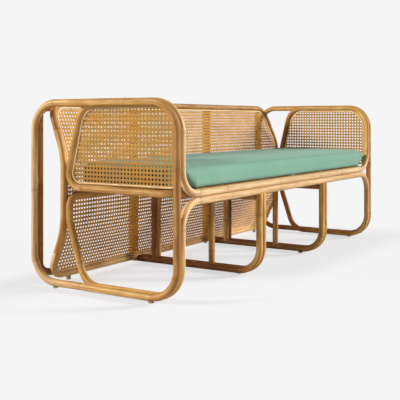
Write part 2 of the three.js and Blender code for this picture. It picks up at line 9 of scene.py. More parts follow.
import bpy
import numpy as np
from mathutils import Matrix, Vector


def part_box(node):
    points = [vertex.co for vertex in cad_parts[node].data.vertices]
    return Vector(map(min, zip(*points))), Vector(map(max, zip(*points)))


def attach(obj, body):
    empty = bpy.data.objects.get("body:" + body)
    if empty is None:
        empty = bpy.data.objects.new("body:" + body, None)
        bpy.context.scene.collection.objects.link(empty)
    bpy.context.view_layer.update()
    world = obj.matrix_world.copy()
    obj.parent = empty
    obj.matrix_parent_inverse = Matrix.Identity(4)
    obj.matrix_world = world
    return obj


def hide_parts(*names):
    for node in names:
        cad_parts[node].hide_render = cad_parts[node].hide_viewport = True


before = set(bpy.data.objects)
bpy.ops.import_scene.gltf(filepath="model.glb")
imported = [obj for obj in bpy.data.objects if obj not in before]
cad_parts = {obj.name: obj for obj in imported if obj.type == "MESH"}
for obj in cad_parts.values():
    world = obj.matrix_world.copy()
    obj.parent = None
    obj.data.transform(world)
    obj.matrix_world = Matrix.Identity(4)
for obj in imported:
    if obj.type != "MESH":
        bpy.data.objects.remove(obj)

bl_info = {
    "name": "Rattan garden sofa",
    "version": (1, 0, 0),
    "blender": (4, 5, 0),
    "location": "3D View > Sidebar > Sofa",
    "description": "Bent poles, cane webbing and seat cushion of a garden sofa",
    "category": "Object",
}

# Places of the frame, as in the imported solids
POLE_RADIUS = 0.014
GAP = 0.0003
PITCH = 2 * POLE_RADIUS + GAP
SPLICE_RUN = 0.010
CANE_THICKNESS = 0.003
LOOP_RADIUS = 0.110
SEAT_RADIUS = 0.095
SEAT_FRAME_RADIUS = 0.060
SEAT_FRAME_INSET = 0.120
SEAT_DEPTH = 0.524
SIDE_RAIL_RISE = 0.005
LEG_REACH = 0.442
LEG_KNEE_Z = 0.262
LEG_RADII = (0.090, 0.120, 0.070)
MIDDLE_INSET = 0.602
MIDDLE_RADIUS = 0.100
MID_POST_REACH = 0.250
REAR_POST_RADIUS = 0.034
BACK_SETBACK = 0.044
LOOP_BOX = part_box("left_end_loop")
LOOP_X = -LOOP_BOX[0].x - POLE_RADIUS
FRONT_Y = LOOP_BOX[0].y + POLE_RADIUS
REAR_Y = -FRONT_Y
FLOOR_Z = LOOP_BOX[0].z + POLE_RADIUS
TOP_Z = LOOP_BOX[1].z - POLE_RADIUS
MIDDLE_Z = (FLOOR_Z + TOP_Z) / 2
BOW_X = LOOP_X - PITCH
RAIL_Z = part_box("front_seat_rail")[0].z + POLE_RADIUS
APRON_Z = RAIL_Z - PITCH
CROSS_Z = APRON_Z - PITCH
SIDE_RAIL_Z = RAIL_Z + SIDE_RAIL_RISE
INNER_FRONT_Y = FRONT_Y + PITCH
REAR_APRON_Y = FRONT_Y + SEAT_DEPTH
BACK_RAIL_Y = REAR_Y - BACK_SETBACK
WAIST_Y = REAR_APRON_Y + PITCH
UPRIGHT_Y = BACK_RAIL_Y + PITCH
WAIST_POST_Y = WAIST_Y - POLE_RADIUS - GAP - CANE_THICKNESS / 2
MIDDLE_OUTER_X = LOOP_X - MIDDLE_INSET
MIDDLE_INNER_X = MIDDLE_OUTER_X - PITCH
BOW_SPLICE_X = BOW_X - SEAT_RADIUS - SPLICE_RUN
LEG_SPLICE_X = BOW_X - LEG_RADII[2] - SPLICE_RUN
INNER_SPLICE_X = BOW_X - SEAT_FRAME_INSET

# The rear of the arm leans forward towards its top
ARM_LEAN = math.tan(math.radians(13.8))
ARM_LOW_RADIUS = 0.055
ARM_TOP_RADIUS = 0.095
ARM_LOW_RUN = ARM_LOW_RADIUS / math.tan((math.pi / 2 - math.atan(ARM_LEAN)) / 2)
ARM_LOW_Y = REAR_APRON_Y - ARM_LOW_RADIUS + ARM_LOW_RUN
ARM_TOP_Y = ARM_LOW_Y - (TOP_Z - SIDE_RAIL_Z) * ARM_LEAN
SIDE_SPLICE_Y = ARM_LOW_Y - ARM_LOW_RUN - SPLICE_RUN

# The back is drawn in at its waist
BACK_SPLAY = 0.012
BACK_LOW_Z = FLOOR_Z + 0.008
WAIST_HALF = 0.140
WAIST_RADIUS = 0.270
BACK_RADIUS = 0.072

# Edge rods and cane lie inside the poles
TRIM_RADIUS = 0.0045
ROD_RADIUS = TRIM_RADIUS - 0.0001
TRIM_FRONT_RADIUS = 0.026
TRIM_INSET = POLE_RADIUS + GAP + TRIM_RADIUS
CANE_INSET = TRIM_INSET + 0.0005

SIDES = (("left", -1), ("right", 1))
HALVES = (("upper", 1), ("lower", -1))

# Camera as fitted to the photo, lamps and floor, with angles in degrees
CAMERA_PLACE = (-3.1381, -1.8555, 0.6505)
CAMERA_TURN = -57.25
LENS = 69.35
SENSOR_WIDTH = 36.0
LENS_SHIFT = -0.2007
LAMP_LEAN = 68
LAMP_SPREAD = 14
KEY_TURN = 42
SIDE_TURN = 229
FLOOR_REACH = 60


# Meshes

def face_grid(rows, columns, wrap_rows=False):
    """Quads of a grid whose columns close into a ring, with the row and column of each corner
    counted on past the seam, for the UV map."""
    last = rows if wrap_rows else rows - 1
    row, column = np.meshgrid(np.arange(last), np.arange(columns), indexing="ij")
    row, column = row.ravel(), column.ravel()
    corner_rows = np.stack([row, row, row + 1, row + 1], axis=1)
    corner_columns = np.stack([column, column + 1, column + 1, column], axis=1)
    quads = corner_rows % rows * columns + corner_columns % columns
    return quads, corner_rows, corner_columns


def new_object(name, data):
    obj = bpy.data.objects.new(name, data)
    bpy.context.scene.collection.objects.link(obj)
    return obj


def build_mesh(name, points, quads, caps=(), uv=None, values=None, sharp_angle=None):
    """An object at the origin from arrays of points and faces."""
    mesh = bpy.data.meshes.new(name)
    loops = np.concatenate([quads.ravel(), *caps]).astype(np.int32)
    sizes = np.concatenate([np.full(len(quads), 4), np.array([len(cap) for cap in caps], int)])
    starts = np.concatenate([[0], np.cumsum(sizes)[:-1]]).astype(np.int32)
    mesh.vertices.add(len(points))
    mesh.vertices.foreach_set("co", points.astype(np.float32).ravel())
    mesh.loops.add(len(loops))
    mesh.loops.foreach_set("vertex_index", loops)
    mesh.polygons.add(len(sizes))
    mesh.polygons.foreach_set("loop_start", starts)
    mesh.polygons.foreach_set("use_smooth", np.ones(len(sizes), bool))
    if uv is not None:
        layer = mesh.uv_layers.new(name="UVMap")
        padded = np.zeros((len(loops), 2), np.float32)
        padded[: len(uv)] = uv
        layer.data.foreach_set("uv", padded.ravel())
    for key, array in (values or {}).items():
        mesh.attributes.new(key, "FLOAT", "POINT").data.foreach_set("value", array.astype(np.float32))
    mesh.update(calc_edges=True)
    mesh.validate()
    if sharp_angle is not None:
        mesh.set_sharp_from_angle(angle=sharp_angle)
    return new_object(name, mesh)


def unit(vectors):
    return vectors / np.linalg.norm(vectors, axis=-1, keepdims=True)


# Centre lines

def bend(corners, radii, closed=False, arc_step=math.radians(6)):
    """Centre line through corners that are rounded by arcs. An arc is its centre plus the radius
    turned evenly from the way in to the way out. Gives points and tangents."""
    corners = [np.array(corner, float) for corner in corners]
    count = len(corners)
    points, tangents = [], []
    for i, corner in enumerate(corners):
        if not closed and i in (0, count - 1):
            other = corners[1] if i == 0 else corners[count - 2]
            points.append(corner[None])
            tangents.append(unit((other - corner) * (1 if i == 0 else -1))[None])
            continue
        before, after = corners[i - 1], corners[(i + 1) % count]
        inward, outward = unit(corner - before), unit(after - corner)
        turn = math.acos(np.clip(inward @ outward, -1, 1))
        half_tan = math.tan(turn / 2)
        before_share = 1 if not closed and i == 1 else 0.5
        after_share = 1 if not closed and i == count - 2 else 0.5
        room = min(np.linalg.norm(corner - before) * before_share,
                   np.linalg.norm(after - corner) * after_share)
        run = min(radii[i] * half_tan, room)
        axis = unit(np.cross(inward, outward))
        to_centre = np.cross(axis, inward) * run / half_tan
        start = corner - inward * run
        angles = np.linspace(0, turn, max(3, int(round(turn / arc_step)) + 1))[:, None]
        points.append(start + to_centre - to_centre * np.cos(angles)
                      + inward * np.sin(angles) * run / half_tan)
        tangents.append(inward * np.cos(angles) + np.cross(axis, inward) * np.sin(angles))
    points, tangents = np.concatenate(points), np.concatenate(tangents)
    if closed:
        points = np.concatenate([points, points[:1]])
        tangents = np.concatenate([tangents, tangents[:1]])
    step = np.linalg.norm(np.diff(points, axis=0), axis=1)
    keep = np.concatenate([[True], step > 1e-6])
    return points[keep], tangents[keep]


def lengths_along(points):
    """Distance along a line of points, from its start."""
    return np.concatenate([[0], np.cumsum(np.linalg.norm(np.diff(points, axis=0), axis=1))])


def pick(line, places):
    """Points and tangents of a centre line at the given distances along it."""
    points, tangents = line
    along = lengths_along(points)
    found = [np.stack([np.interp(places, along, part[:, k]) for k in range(3)], axis=1)
             for part in (points, tangents)]
    return found[0], unit(found[1])


def tube(name, line, places, radius, sides, closed=False, values=None, first_length=0.0):
    """A round section carried along a centre line: each point is the centre plus the radius
    there times the cosine and sine of its angle on two vectors square to the tangent."""
    points, tangents = pick(line, places)
    if closed:
        points, tangents, radius = points[:-1], tangents[:-1], radius[:-1]
        values = {key: array[:-1] for key, array in (values or {}).items()}
    candidates = unit(np.array([[1, 0, 0], [0, 1, 0], [0, 0, 1], [1, 1, 1], [-1, 1, 1],
                                [1, -1, 1], [1, 1, -1]], float))
    spread = [np.linalg.norm(np.cross(candidate, tangents), axis=1).min() for candidate in candidates]
    guide = candidates[int(np.argmax(spread))]
    across = unit(np.cross(guide, tangents))
    upward = np.cross(tangents, across)
    angle = 2 * math.pi * np.arange(sides) / sides
    ring = (np.cos(angle)[None, :, None] * across[:, None, :]
            + np.sin(angle)[None, :, None] * upward[:, None, :])
    mesh_points = (points[:, None, :] + radius[:, None, None] * ring).reshape(-1, 3)
    quads, rows, columns = face_grid(len(points), sides, wrap_rows=closed)
    uv = np.stack([columns / sides, places[rows] + first_length], axis=-1).reshape(-1, 2)
    caps = []
    if not closed:
        caps = [np.arange(sides)[::-1], (len(points) - 1) * sides + np.arange(sides)]
    point_values = {key: np.repeat(array, sides) for key, array in (values or {}).items()}
    return build_mesh(name, mesh_points, quads, caps, uv, point_values,
                      sharp_angle=None if closed else math.radians(50))


# Poles

def back_corner(level):
    return BOW_X - BACK_SPLAY, BACK_RAIL_Y, TOP_Z if level > 0 else BACK_LOW_Z


def back_waist(level):
    return BOW_X, WAIST_Y, MIDDLE_Z + level * WAIST_HALF


def back_splice(level, share=0.5):
    corner, waist = np.array(back_corner(level)), np.array(back_waist(level))
    return tuple(corner + (waist - corner) * share)


def middle_of_bend(level):
    """Middle of the rounded corner of the back frame: the corner moved towards the arc's centre."""
    corner = np.array(back_corner(level))
    inward, outward = unit(corner - back_waist(level)), np.array([-1, 0, 0])
    turn = math.acos(np.clip(inward @ outward, -1, 1))
    return tuple(corner + unit(outward - inward) * BACK_RADIUS * (1 / math.cos(turn / 2) - 1))


def mirrored(corners, side):
    return [(side * x, y, z) for x, y, z in corners]


def half_poles():
    """Poles of the half on the side of +X: name, corners, radii of the bends, how far both ends
    are sunk in their carriers, or None for a closed loop, and the tones from end to end, first
    for the left pole and last for the right one: -1 pale, 0 fair and 1 dark. The tones are partly
    the bark's own and partly painted light and shade: dark tones on the runs under the seat and at
    the rear, where shade falls, and pale tones where the frame is lit."""
    sunk = 0.5 * POLE_RADIUS
    yield ("end_loop", [(LOOP_X, FRONT_Y, FLOOR_Z), (LOOP_X, FRONT_Y, TOP_Z),
                        (LOOP_X, REAR_Y, TOP_Z), (LOOP_X, REAR_Y, FLOOR_Z)],
           [LOOP_RADIUS] * 4, None, ((0.4, 0.7, 0.7, 0.3, 0.1, -0.3, -0.7, -0.6, -0.1, 0.3),
                                     (0.5, -0.2, 0.0, 0.3, 0.3, 0.3, 0.5, 1.0, 1.0, 0.5)))
    yield ("arm_bow", [(BOW_SPLICE_X, FRONT_Y, RAIL_Z), (BOW_X, FRONT_Y, RAIL_Z),
                       (BOW_X, FRONT_Y, TOP_Z), (BOW_X, ARM_TOP_Y, TOP_Z),
                       (BOW_X, ARM_LOW_Y, SIDE_RAIL_Z), (BOW_X, SIDE_SPLICE_Y, SIDE_RAIL_Z)],
           [SEAT_RADIUS, LOOP_RADIUS, ARM_TOP_RADIUS, ARM_LOW_RADIUS], 0,
           ((-0.6, -0.5, -0.2, 0, 0.2, 0.3), (-0.6, -0.2, 0.1, 0.3, 0.8, 0.8)))
    yield ("side_rail", [(BOW_X, SIDE_SPLICE_Y - GAP, SIDE_RAIL_Z), (BOW_X, INNER_FRONT_Y, RAIL_Z),
                         (INNER_SPLICE_X, INNER_FRONT_Y, RAIL_Z)], [SEAT_FRAME_RADIUS], 0, [0.45])
    yield ("leg_bow", [(BOW_SPLICE_X, FRONT_Y, APRON_Z), (BOW_X, FRONT_Y, APRON_Z),
                       (BOW_X, FRONT_Y, FLOOR_Z), (BOW_X, FRONT_Y + LEG_REACH, FLOOR_Z),
                       (BOW_X, REAR_APRON_Y, LEG_KNEE_Z), (BOW_X, REAR_APRON_Y, APRON_Z),
                       (LEG_SPLICE_X, REAR_APRON_Y, APRON_Z)],
           [SEAT_RADIUS, LOOP_RADIUS, *LEG_RADII], 0,
           ((-0.5, -0.4, 0.0, 0.1, 0.3, 0.3), (-0.5, -0.2, 0.1, 0.9, 1, 1)))
    share = 0.5 + GAP / math.dist(back_corner(1), back_waist(1))
    yield ("back_side_pole", [back_splice(-1, share), back_waist(-1), back_waist(1),
                              back_splice(1, share)], [WAIST_RADIUS] * 2, 0, [0.3])
    low, high = middle_of_bend(-1), middle_of_bend(1)
    yield ("rear_post", [low, (BOW_X, REAR_Y, low[2]), (BOW_X, REAR_Y, high[2]), high],
           [REAR_POST_RADIUS] * 2, sunk, [0.75])
    # The middle poles darken along their run on the floor under the seat: painted shade.
    for place, x, waist_tone in (("outer", MIDDLE_OUTER_X, 1.0), ("inner", MIDDLE_INNER_X, 0.2)):
        yield (f"middle_{place}_pole", [(x, FRONT_Y, APRON_Z), (x, FRONT_Y, FLOOR_Z),
                                        (x, BACK_RAIL_Y, FLOOR_Z)], [MIDDLE_RADIUS], sunk,
               [(0.1, 0.1, 0.15, 0.8, 0.9, 1.0, 1.0, 1.0)])
        yield (f"back_{place}_upright", [(x, UPRIGHT_Y, FLOOR_Z - POLE_RADIUS),
                                         (x, UPRIGHT_Y, TOP_Z)], [], 0, [0.45])
        yield (f"waist_{place}_post", [(x, WAIST_POST_Y, FLOOR_Z), (x, WAIST_POST_Y, APRON_Z)],
               [], sunk, [waist_tone])
    yield ("cross_rail", [(MIDDLE_INNER_X, y, CROSS_Z) for y in (FRONT_Y, WAIST_POST_Y)], [], sunk, [0.7])
    yield ("mid_post", [(MIDDLE_INNER_X, FRONT_Y + MID_POST_REACH, z) for z in (FLOOR_Z, CROSS_Z)],
           [], sunk, [0.4])


def all_poles():
    """Every pole, as in half_poles but with the tone of its own side: the rails that run from side
    to side, then the left half and the right half."""
    # Pale tones on the front rails and the back's bottom rail are painted light; dark tones on the rails
    # under the seat are painted shade.
    for name, end, y, z, tone in (
            ("front_seat_rail", BOW_SPLICE_X - GAP, FRONT_Y, RAIL_Z, -0.6),
            ("front_apron_rail", BOW_SPLICE_X - GAP, FRONT_Y, APRON_Z, -0.5),
            ("rear_apron_rail", LEG_SPLICE_X - GAP, REAR_APRON_Y, APRON_Z, 0.5),
            ("inner_front_rail", INNER_SPLICE_X - GAP, INNER_FRONT_Y, RAIL_Z, 0.5),
            ("rear_seat_rail", LEG_SPLICE_X, REAR_APRON_Y, RAIL_Z, 0.5)):
        yield name, [(-end, y, z), (end, y, z)], [], 0, tone
    for name, level, tone in (("back_top_rail", 1, 0.6), ("back_bottom_rail", -1, -0.3)):
        right = [back_corner(level), back_splice(level)]
        yield name, [*mirrored(right[::-1], -1), *right], [BACK_RADIUS] * 2, 0, tone
    for hand, side in SIDES:
        for name, corners, radii, sunk, tones in half_poles():
            tone = tones[0 if side < 0 else -1]
            yield f"{hand}_{name}", mirrored(corners, side), radii, sunk, tone


# Width of a growth ring's swelling and groove, how far growth rings keep off an end, length and
# share of the rounding of a cut end, and the least distance between two rings of points there
SWELLING_WIDTH = 0.006
GROOVE_WIDTH = 0.0011
RING_CLEAR = 0.03
END_RUN = 0.002
END_SHARE = 0.12
CLOSEST = 3e-4
ROD_SIDES = 12
ROD_STEP = 0.04
ROD_POINTS = 320


def ring_places(length, sizes, rng):
    """Growth rings along a pole: spaced unevenly, and kept off its ends."""
    count = int(length / sizes.ring_least) + 2
    spaces = rng.uniform(sizes.ring_least, sizes.ring_most, count)
    places = np.cumsum(spaces) - spaces[0] * rng.uniform(0.2, 0.8)
    return places[(places > RING_CLEAR) & (places < length - RING_CLEAR)]


def make_pole(name, corners, radii, sunk, tone, sizes, rng):
    """A bamboo-like pole. Its radius is the plain one, plus a slow wave, plus at each growth
    ring a low bell-shaped swelling with a narrow groove at its middle."""
    closed = sunk is None
    line = bend(corners, radii if closed else [0, *radii, 0], closed)
    along = lengths_along(line[0])
    length = along[-1]
    rings = ring_places(length, sizes, rng)
    low, high = (0, length) if closed else (sunk, length - sunk)
    near = np.array([-14, -8, -5, -3, -1.6, -0.8, 0, 0.8, 1.6, 3, 5, 8, 14]) * 0.001
    near_ends = np.array([0, 0.0008, END_RUN])
    places = np.concatenate([along, np.arange(low, high, sizes.straight_step),
                             (rings[:, None] + near).ravel(), low + near_ends, high - near_ends])
    places = np.unique(np.round(places[(places >= low) & (places <= high)], 5))
    inside = (places > low + CLOSEST) & (places < high - CLOSEST)
    places = np.concatenate([[low], places[inside], [high]])
    faint = rng.uniform(0, sizes.ring_fade, len(rings))
    distance = np.min(np.abs(places[:, None] - rings) + faint, axis=1, initial=1.0)
    wave = np.sin(places * 2 * math.pi / sizes.wave_length + rng.uniform(0, 6))
    plain = sizes.pole_radius - sizes.bark_room
    radius = (plain + sizes.wave_height * wave
              + sizes.swelling * np.exp(-(distance / SWELLING_WIDTH) ** 2)
              - sizes.groove * np.exp(-(distance / GROOVE_WIDTH) ** 2))
    if closed:
        radius[-1] = radius[0]
    else:
        from_end = np.minimum(places - low, high - places)
        radius *= 1 - END_SHARE * (1 - np.clip(from_end / END_RUN, 0, 1)) ** 2
    tone = np.atleast_1d(tone)
    values = {"ring_distance": np.minimum(distance, 0.2),
              "tone": np.interp(places, np.linspace(low, high, len(tone)), tone)}
    return tube(f"pole_{name}", line, places, radius, sizes.pole_sides, closed, values, rng.uniform(0, 40))


# Back profile: the sheet of cane and its edge rods follow the side poles

def back_profile(level):
    """Line up or down the back from its middle: two straights with an arc at the waist."""
    corners = [(0, WAIST_Y, MIDDLE_Z), (0, *back_waist(level)[1:]), (0, *back_corner(level)[1:])]
    return bend(corners, [0, WAIST_RADIUS, 0], arc_step=math.radians(2))


def on_back(level, flat):
    """Places on the back from places on its sheet laid flat: the first is how far across, the
    second how far up the profile, and the third how far off the sheet."""
    points, tangents = pick(back_profile(level), flat[:, 1])
    normal = np.stack([tangents[:, 0], -tangents[:, 2], tangents[:, 1]], axis=1) * level
    return points + flat[:, :1] * [1, 0, 0] + normal * flat[:, 2:]


def back_outline(level, inset, start=GAP):
    """Half of the back laid flat: corners and radii of its edge from right to left."""
    top = lengths_along(back_profile(level)[0])[-1] - inset
    half_low, half_top = BOW_X - inset, BOW_X - BACK_SPLAY - inset
    right = [(half_low, start, 0), (half_low, WAIST_HALF, 0), (half_top, top, 0)]
    radius = BACK_RADIUS - inset
    return [*right, *mirrored(right[::-1], -1)], [0, 0.3, radius, radius, 0.3, 0]


def arm_outline(inset):
    """Arm panel in its own plane: corners and radii of its edge, moved inward by the inset."""
    share = 1 / math.cos(math.atan(ARM_LEAN))
    corners = [
        (0, FRONT_Y + inset, SIDE_RAIL_Z + inset),
        (0, FRONT_Y + inset, TOP_Z - inset),
        (0, ARM_TOP_Y - inset * share + inset * ARM_LEAN, TOP_Z - inset),
        (0, ARM_LOW_Y - inset * share - inset * ARM_LEAN, SIDE_RAIL_Z + inset),
    ]
    return corners, [TRIM_FRONT_RADIUS - (inset - TRIM_INSET), LOOP_RADIUS - inset,
                     ARM_TOP_RADIUS - inset, ARM_LOW_RADIUS - inset]


# Cane webbing

SHORTEST_STRAND = 0.006
CROSSING_CLEAR = 0.0012


def clip(outline, origins, direction):
    """Where lines enter and leave a convex outline that runs anticlockwise: the largest of the
    crossings on the way in and the smallest of those on the way out."""
    edge = np.roll(outline, -1, axis=0) - outline
    keep = np.linalg.norm(edge, axis=1) > 1e-7
    start, edge = outline[keep], edge[keep]
    inward = np.stack([-edge[:, 1], edge[:, 0]], axis=1)
    reach = ((start[None] - origins[:, None]) * inward[None]).sum(axis=2)
    speed = (inward @ direction)[None].repeat(len(origins), axis=0)
    flat = np.abs(speed) < 1e-9
    share = np.where(flat, 0, reach / np.where(flat, 1, speed))
    enter = np.where(~flat & (speed > 0), share, -np.inf).max(axis=1)
    leave = np.where(~flat & (speed < 0), share, np.inf).min(axis=1)
    outside = (flat & (reach > 0)).any(axis=1)
    return enter, np.where(outside, enter - 1, leave)


def strand(origin, direction, span, crossings, heights, width, thickness):
    """One strand in the plane of the sheet: a lens-shaped section of four points carried along a
    straight line whose height above the sheet passes over and under at the crossings."""
    low, high = span
    inside = (crossings > low + CROSSING_CLEAR) & (crossings < high - CROSSING_CLEAR)
    places = np.concatenate([[low], crossings[inside], [high]])
    lift = np.concatenate([[0], heights[inside], [0]])
    side = np.array([-direction[1], direction[0]])
    offset = np.array([0.5, 0, -0.5, 0]) * width
    rise = np.array([0, 0.5, 0, -0.5]) * thickness
    flat = (origin[None, None] + places[:, None, None] * direction[None, None]
            + offset[None, :, None] * side[None, None])
    height = lift[:, None] + rise[None]
    return np.concatenate([flat.reshape(-1, 2), height.reshape(-1, 1)], axis=1), len(places)


def weave(outline, sizes, families, fullness):
    """Open cane webbing in the plane. Strands run in pairs upwards and across, and singly on both
    diagonals, which pass midway between the crossings of the pairs and leave eight-sided holes.
    Each strand is over at one crossing and under at the next."""
    pitch, pair = sizes.pitch, sizes.pair * fullness
    low, high = outline.min(axis=0), outline.max(axis=0)
    reach = np.arange(math.floor(low.min() / pitch) - 2, math.ceil(high.max() / pitch) + 3)
    pairs = (reach[:, None] * pitch + np.array([-0.5, 0.5]) * pair).ravel()
    parity = np.where(np.arange(len(pairs)) % 2 == 0, 1.0, -1.0)
    halves = (reach * 2 * pitch + pitch) / 2
    whole = (reach[-1] - reach[0]) * pitch
    middles = np.concatenate([halves - whole, halves, halves + whole])
    diagonal = math.sqrt(0.5)
    along = np.arange(reach[0] * 4, reach[-1] * 4) * pitch * diagonal
    swing = np.where(np.arange(len(along)) % 2 == 0, 1.0, -1.0) * sizes.diagonal_lift
    kinds = {
        "up": ((1, 0), pairs, (0, 1), pairs, parity * sizes.lift, parity, sizes.width),
        "across": ((0, 1), pairs, (1, 0), pairs, -parity * sizes.lift, parity, sizes.width),
        "rising": ((1, 0), middles, (diagonal, diagonal), along, swing, middles * 0 + 1,
                   sizes.diagonal_width),
        "falling": ((1, 0), middles, (-diagonal, diagonal), along, -swing, middles * 0 + 1,
                    sizes.diagonal_width),
    }
    points, quads, caps, base = [], [], [], 0
    for family in families:
        axis, starts, direction, crossings, heights, signs, width = kinds[family]
        origins, direction = starts[:, None] * axis, np.array(direction, float)
        enter, leave = clip(outline, origins, direction)
        for origin, sign, span in zip(origins, signs, zip(enter, leave)):
            if span[1] - span[0] < SHORTEST_STRAND:
                continue
            made, stations = strand(origin, direction, span, crossings, heights * sign,
                                    width * fullness, sizes.thickness)
            points.append(made)
            quads.append(face_grid(stations, 4)[0] + base)
            caps += [base + np.arange(4)[::-1], base + (stations - 1) * 4 + np.arange(4)]
            base += len(made)
    return np.concatenate(points), np.concatenate(quads), caps


# Seat cushion

CUSHION_LOW, CUSHION_HIGH = (np.array(corner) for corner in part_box("cushion_cover"))
FLAT_STEPS = 14
CORNER_STEPS = 9
SIDE_STEPS = 24
CLOTH_FRAMES = 20

# How far the filled cushion may pass its box below and above
ROOM_BELOW = 0.0002
ROOM_ABOVE = 0.004

# The painted shade reaches in from the ends, keeps off the front and the top, and covers the underside
END_SHADE_WIDTH = 0.010
END_SHADE_FADE = 0.008
FRONT_CLEAR = 0.075
FRONT_FADE = 0.02
TOP_CLEAR = 0.014
UNDERSIDE_HEIGHT = 0.006
UNDERSIDE_FADE = 0.003


def cushion_form(shrink, sizes):
    """Box cushion as rings of a rounded rectangle in plan, from the middle of the underside round
    the edge to the middle of the top. Between its corners each side draws in."""
    low, high = CUSHION_LOW, CUSHION_HIGH
    centre = (low + high) / 2
    half = (high - low) / 2 - shrink
    low_z, top_z = low[2] + 0.001, high[2] - 0.006 - shrink
    corner_angle = np.linspace(0, math.pi / 2, CORNER_STEPS)
    edge = np.linspace(0, math.pi / 2, 7)
    low_r, top_r = sizes.low_radius, sizes.top_radius
    flat = np.linspace(1, 0, FLAT_STEPS, endpoint=False) ** 1.5
    insets = np.concatenate([low_r + (half[1] - low_r) * flat * 0.98, low_r * (1 - np.sin(edge)),
                             top_r * (1 - np.cos(edge)),
                             top_r + (half[1] - top_r) * flat[::-1] * 0.98])
    heights = np.concatenate([np.full(FLAT_STEPS, low_z), low_z + low_r * (1 - np.cos(edge)),
                              top_z - top_r * (1 - np.sin(edge)), np.full(FLAT_STEPS, top_z)])
    arcs = []
    for sign_x, sign_y, start in ((1, 1, 0), (-1, 1, 0.5), (-1, -1, 1), (1, -1, 1.5)):
        angle = corner_angle + start * math.pi
        wanted = sizes.rear_corner if sign_y > 0 else sizes.front_corner
        inset = insets[:, None, None]
        radius = np.maximum(wanted - inset, 0.0005)
        arcs.append(radius * np.stack([np.cos(angle), np.sin(angle)], axis=1)
                    + np.array([sign_x, sign_y]) * (half[:2] - inset - radius))
    corners = np.concatenate(arcs, axis=1)
    parts = [1 if (i + 1) % CORNER_STEPS else SIDE_STEPS for i in range(corners.shape[1])]
    share = np.concatenate([np.arange(part) / part for part in parts])[:, None]
    steps = np.repeat(np.roll(corners, -1, axis=1) - corners, parts, axis=1) * share
    plan = np.repeat(corners, parts, axis=1) + steps
    share = 1 - (plan / half[:2]) ** 2
    draw = sizes.draw_in * np.clip(share[..., ::-1], 0, 1) * np.sign(plan)
    draw *= np.clip(1 - share, 0, 1) ** 4
    plan = plan - draw + centre[:2]
    level = np.clip((heights - low_z) / (top_z - low_z), 0, 1)[:, None] ** 4
    crown = sizes.crown * np.clip(share[..., 0] * share[..., 1], 0, 1) * level
    points = np.concatenate([plan, (heights[:, None] + crown)[..., None]], axis=2)
    points = beside_bends(points, shrink, sizes)
    count = plan.shape[1]
    quads = face_grid(len(plan), count)[0]
    caps = [np.arange(count)[::-1], (len(plan) - 1) * count + np.arange(count)]
    return points.reshape(-1, 3), quads[:, ::-1], [cap[::-1] for cap in caps]


def beside_bends(points, shrink, sizes):
    """The lower front corners give way to the bends between seat rail and arms: next to the front,
    no point lies outside a circle about the middle of the bend."""
    room = CUSHION_HIGH[0] - BOW_X + SEAT_RADIUS - shrink
    below = np.clip(RAIL_Z + SEAT_RADIUS - points[..., 2], 0, room)
    reach = BOW_X - SEAT_RADIUS + np.sqrt(room ** 2 - below ** 2)
    from_front = points[..., 1] - CUSHION_LOW[1]
    give = 1 - smooth_step((from_front - sizes.front_corner) / sizes.give_length)
    across = np.abs(points[..., 0])
    across = across - np.maximum(across - reach, 0) * give
    return np.concatenate([(np.sign(points[..., 0]) * across)[..., None], points[..., 1:]], axis=-1)


def smooth_step(share):
    """Three times the square of the share less twice its cube, with the share kept in 0 to 1."""
    share = np.clip(share, 0, 1)
    return share * share * (3 - 2 * share)


def read_points(mesh):
    array = np.empty(len(mesh.vertices) * 3, np.float32)
    mesh.vertices.foreach_get("co", array)
    return array.reshape(-1, 3).astype(float)


def baked(obj):
    """The mesh of an object with its modifiers applied."""
    graph = bpy.context.evaluated_depsgraph_get()
    return bpy.data.meshes.new_from_object(obj.evaluated_get(graph))


def stuff(obj, sizes):
    """Blows the closed cover up from inside and lets the cloth settle. No point may move further
    than the cap: a longer move is shortened to it."""
    remesh = obj.modifiers.new("even_faces", "REMESH")
    remesh.mode = "VOXEL"
    remesh.voxel_size = sizes.face_size
    obj.data = baked(obj)
    obj.modifiers.clear()
    rest = read_points(obj.data)
    cloth = obj.modifiers.new("stuffing", "CLOTH")
    cloth.settings.use_pressure = True
    cloth.settings.uniform_pressure_force = sizes.pressure
    cloth.settings.effector_weights.gravity = 0
    cloth.settings.quality = 5
    cloth.point_cache.frame_start, cloth.point_cache.frame_end = 1, CLOTH_FRAMES
    for step in range(CLOTH_FRAMES):
        bpy.context.scene.frame_set(step + 1)
    moved = read_points(baked(obj)) - rest
    obj.modifiers.clear()
    bpy.context.scene.frame_set(1)
    far = np.linalg.norm(moved, axis=1, keepdims=True)
    rest = rest + moved * np.minimum(1, sizes.cap / np.maximum(far, 1e-9))
    return rest


def fill_front(points, sizes):
    """Fills the front corners and lets the front hang over its rail. Near a front corner a point
    moves away from the corner's middle, by the share by which a curve of the fourth power lies
    outside the circle, times the square of its distance. Then the front moves forward by a smooth
    step of the distance from it."""
    low, high = CUSHION_LOW, CUSHION_HIGH
    radius = sizes.corner_fill
    middle = np.array([high[0] - radius, low[1] + radius])
    out = np.stack([np.abs(points[:, 0]) - middle[0], middle[1] - points[:, 1]], axis=1)
    near = np.clip(out / radius, 1e-6, 1)
    far = np.minimum(np.linalg.norm(near, axis=1, keepdims=True), 1)
    grow = ((unit(near) ** 4).sum(axis=1, keepdims=True) ** -0.25 - 1) * far ** 2
    out = np.where((out > 0).all(axis=1, keepdims=True), out * (1 + grow), out)
    forward = smooth_step(1 - (middle[1] - out[:, 1] - low[1]) / sizes.overhang_run)
    return np.stack([np.sign(points[:, 0]) * (middle[0] + out[:, 0]),
                     middle[1] - out[:, 1] - sizes.front_overhang * forward, points[:, 2]], axis=1)


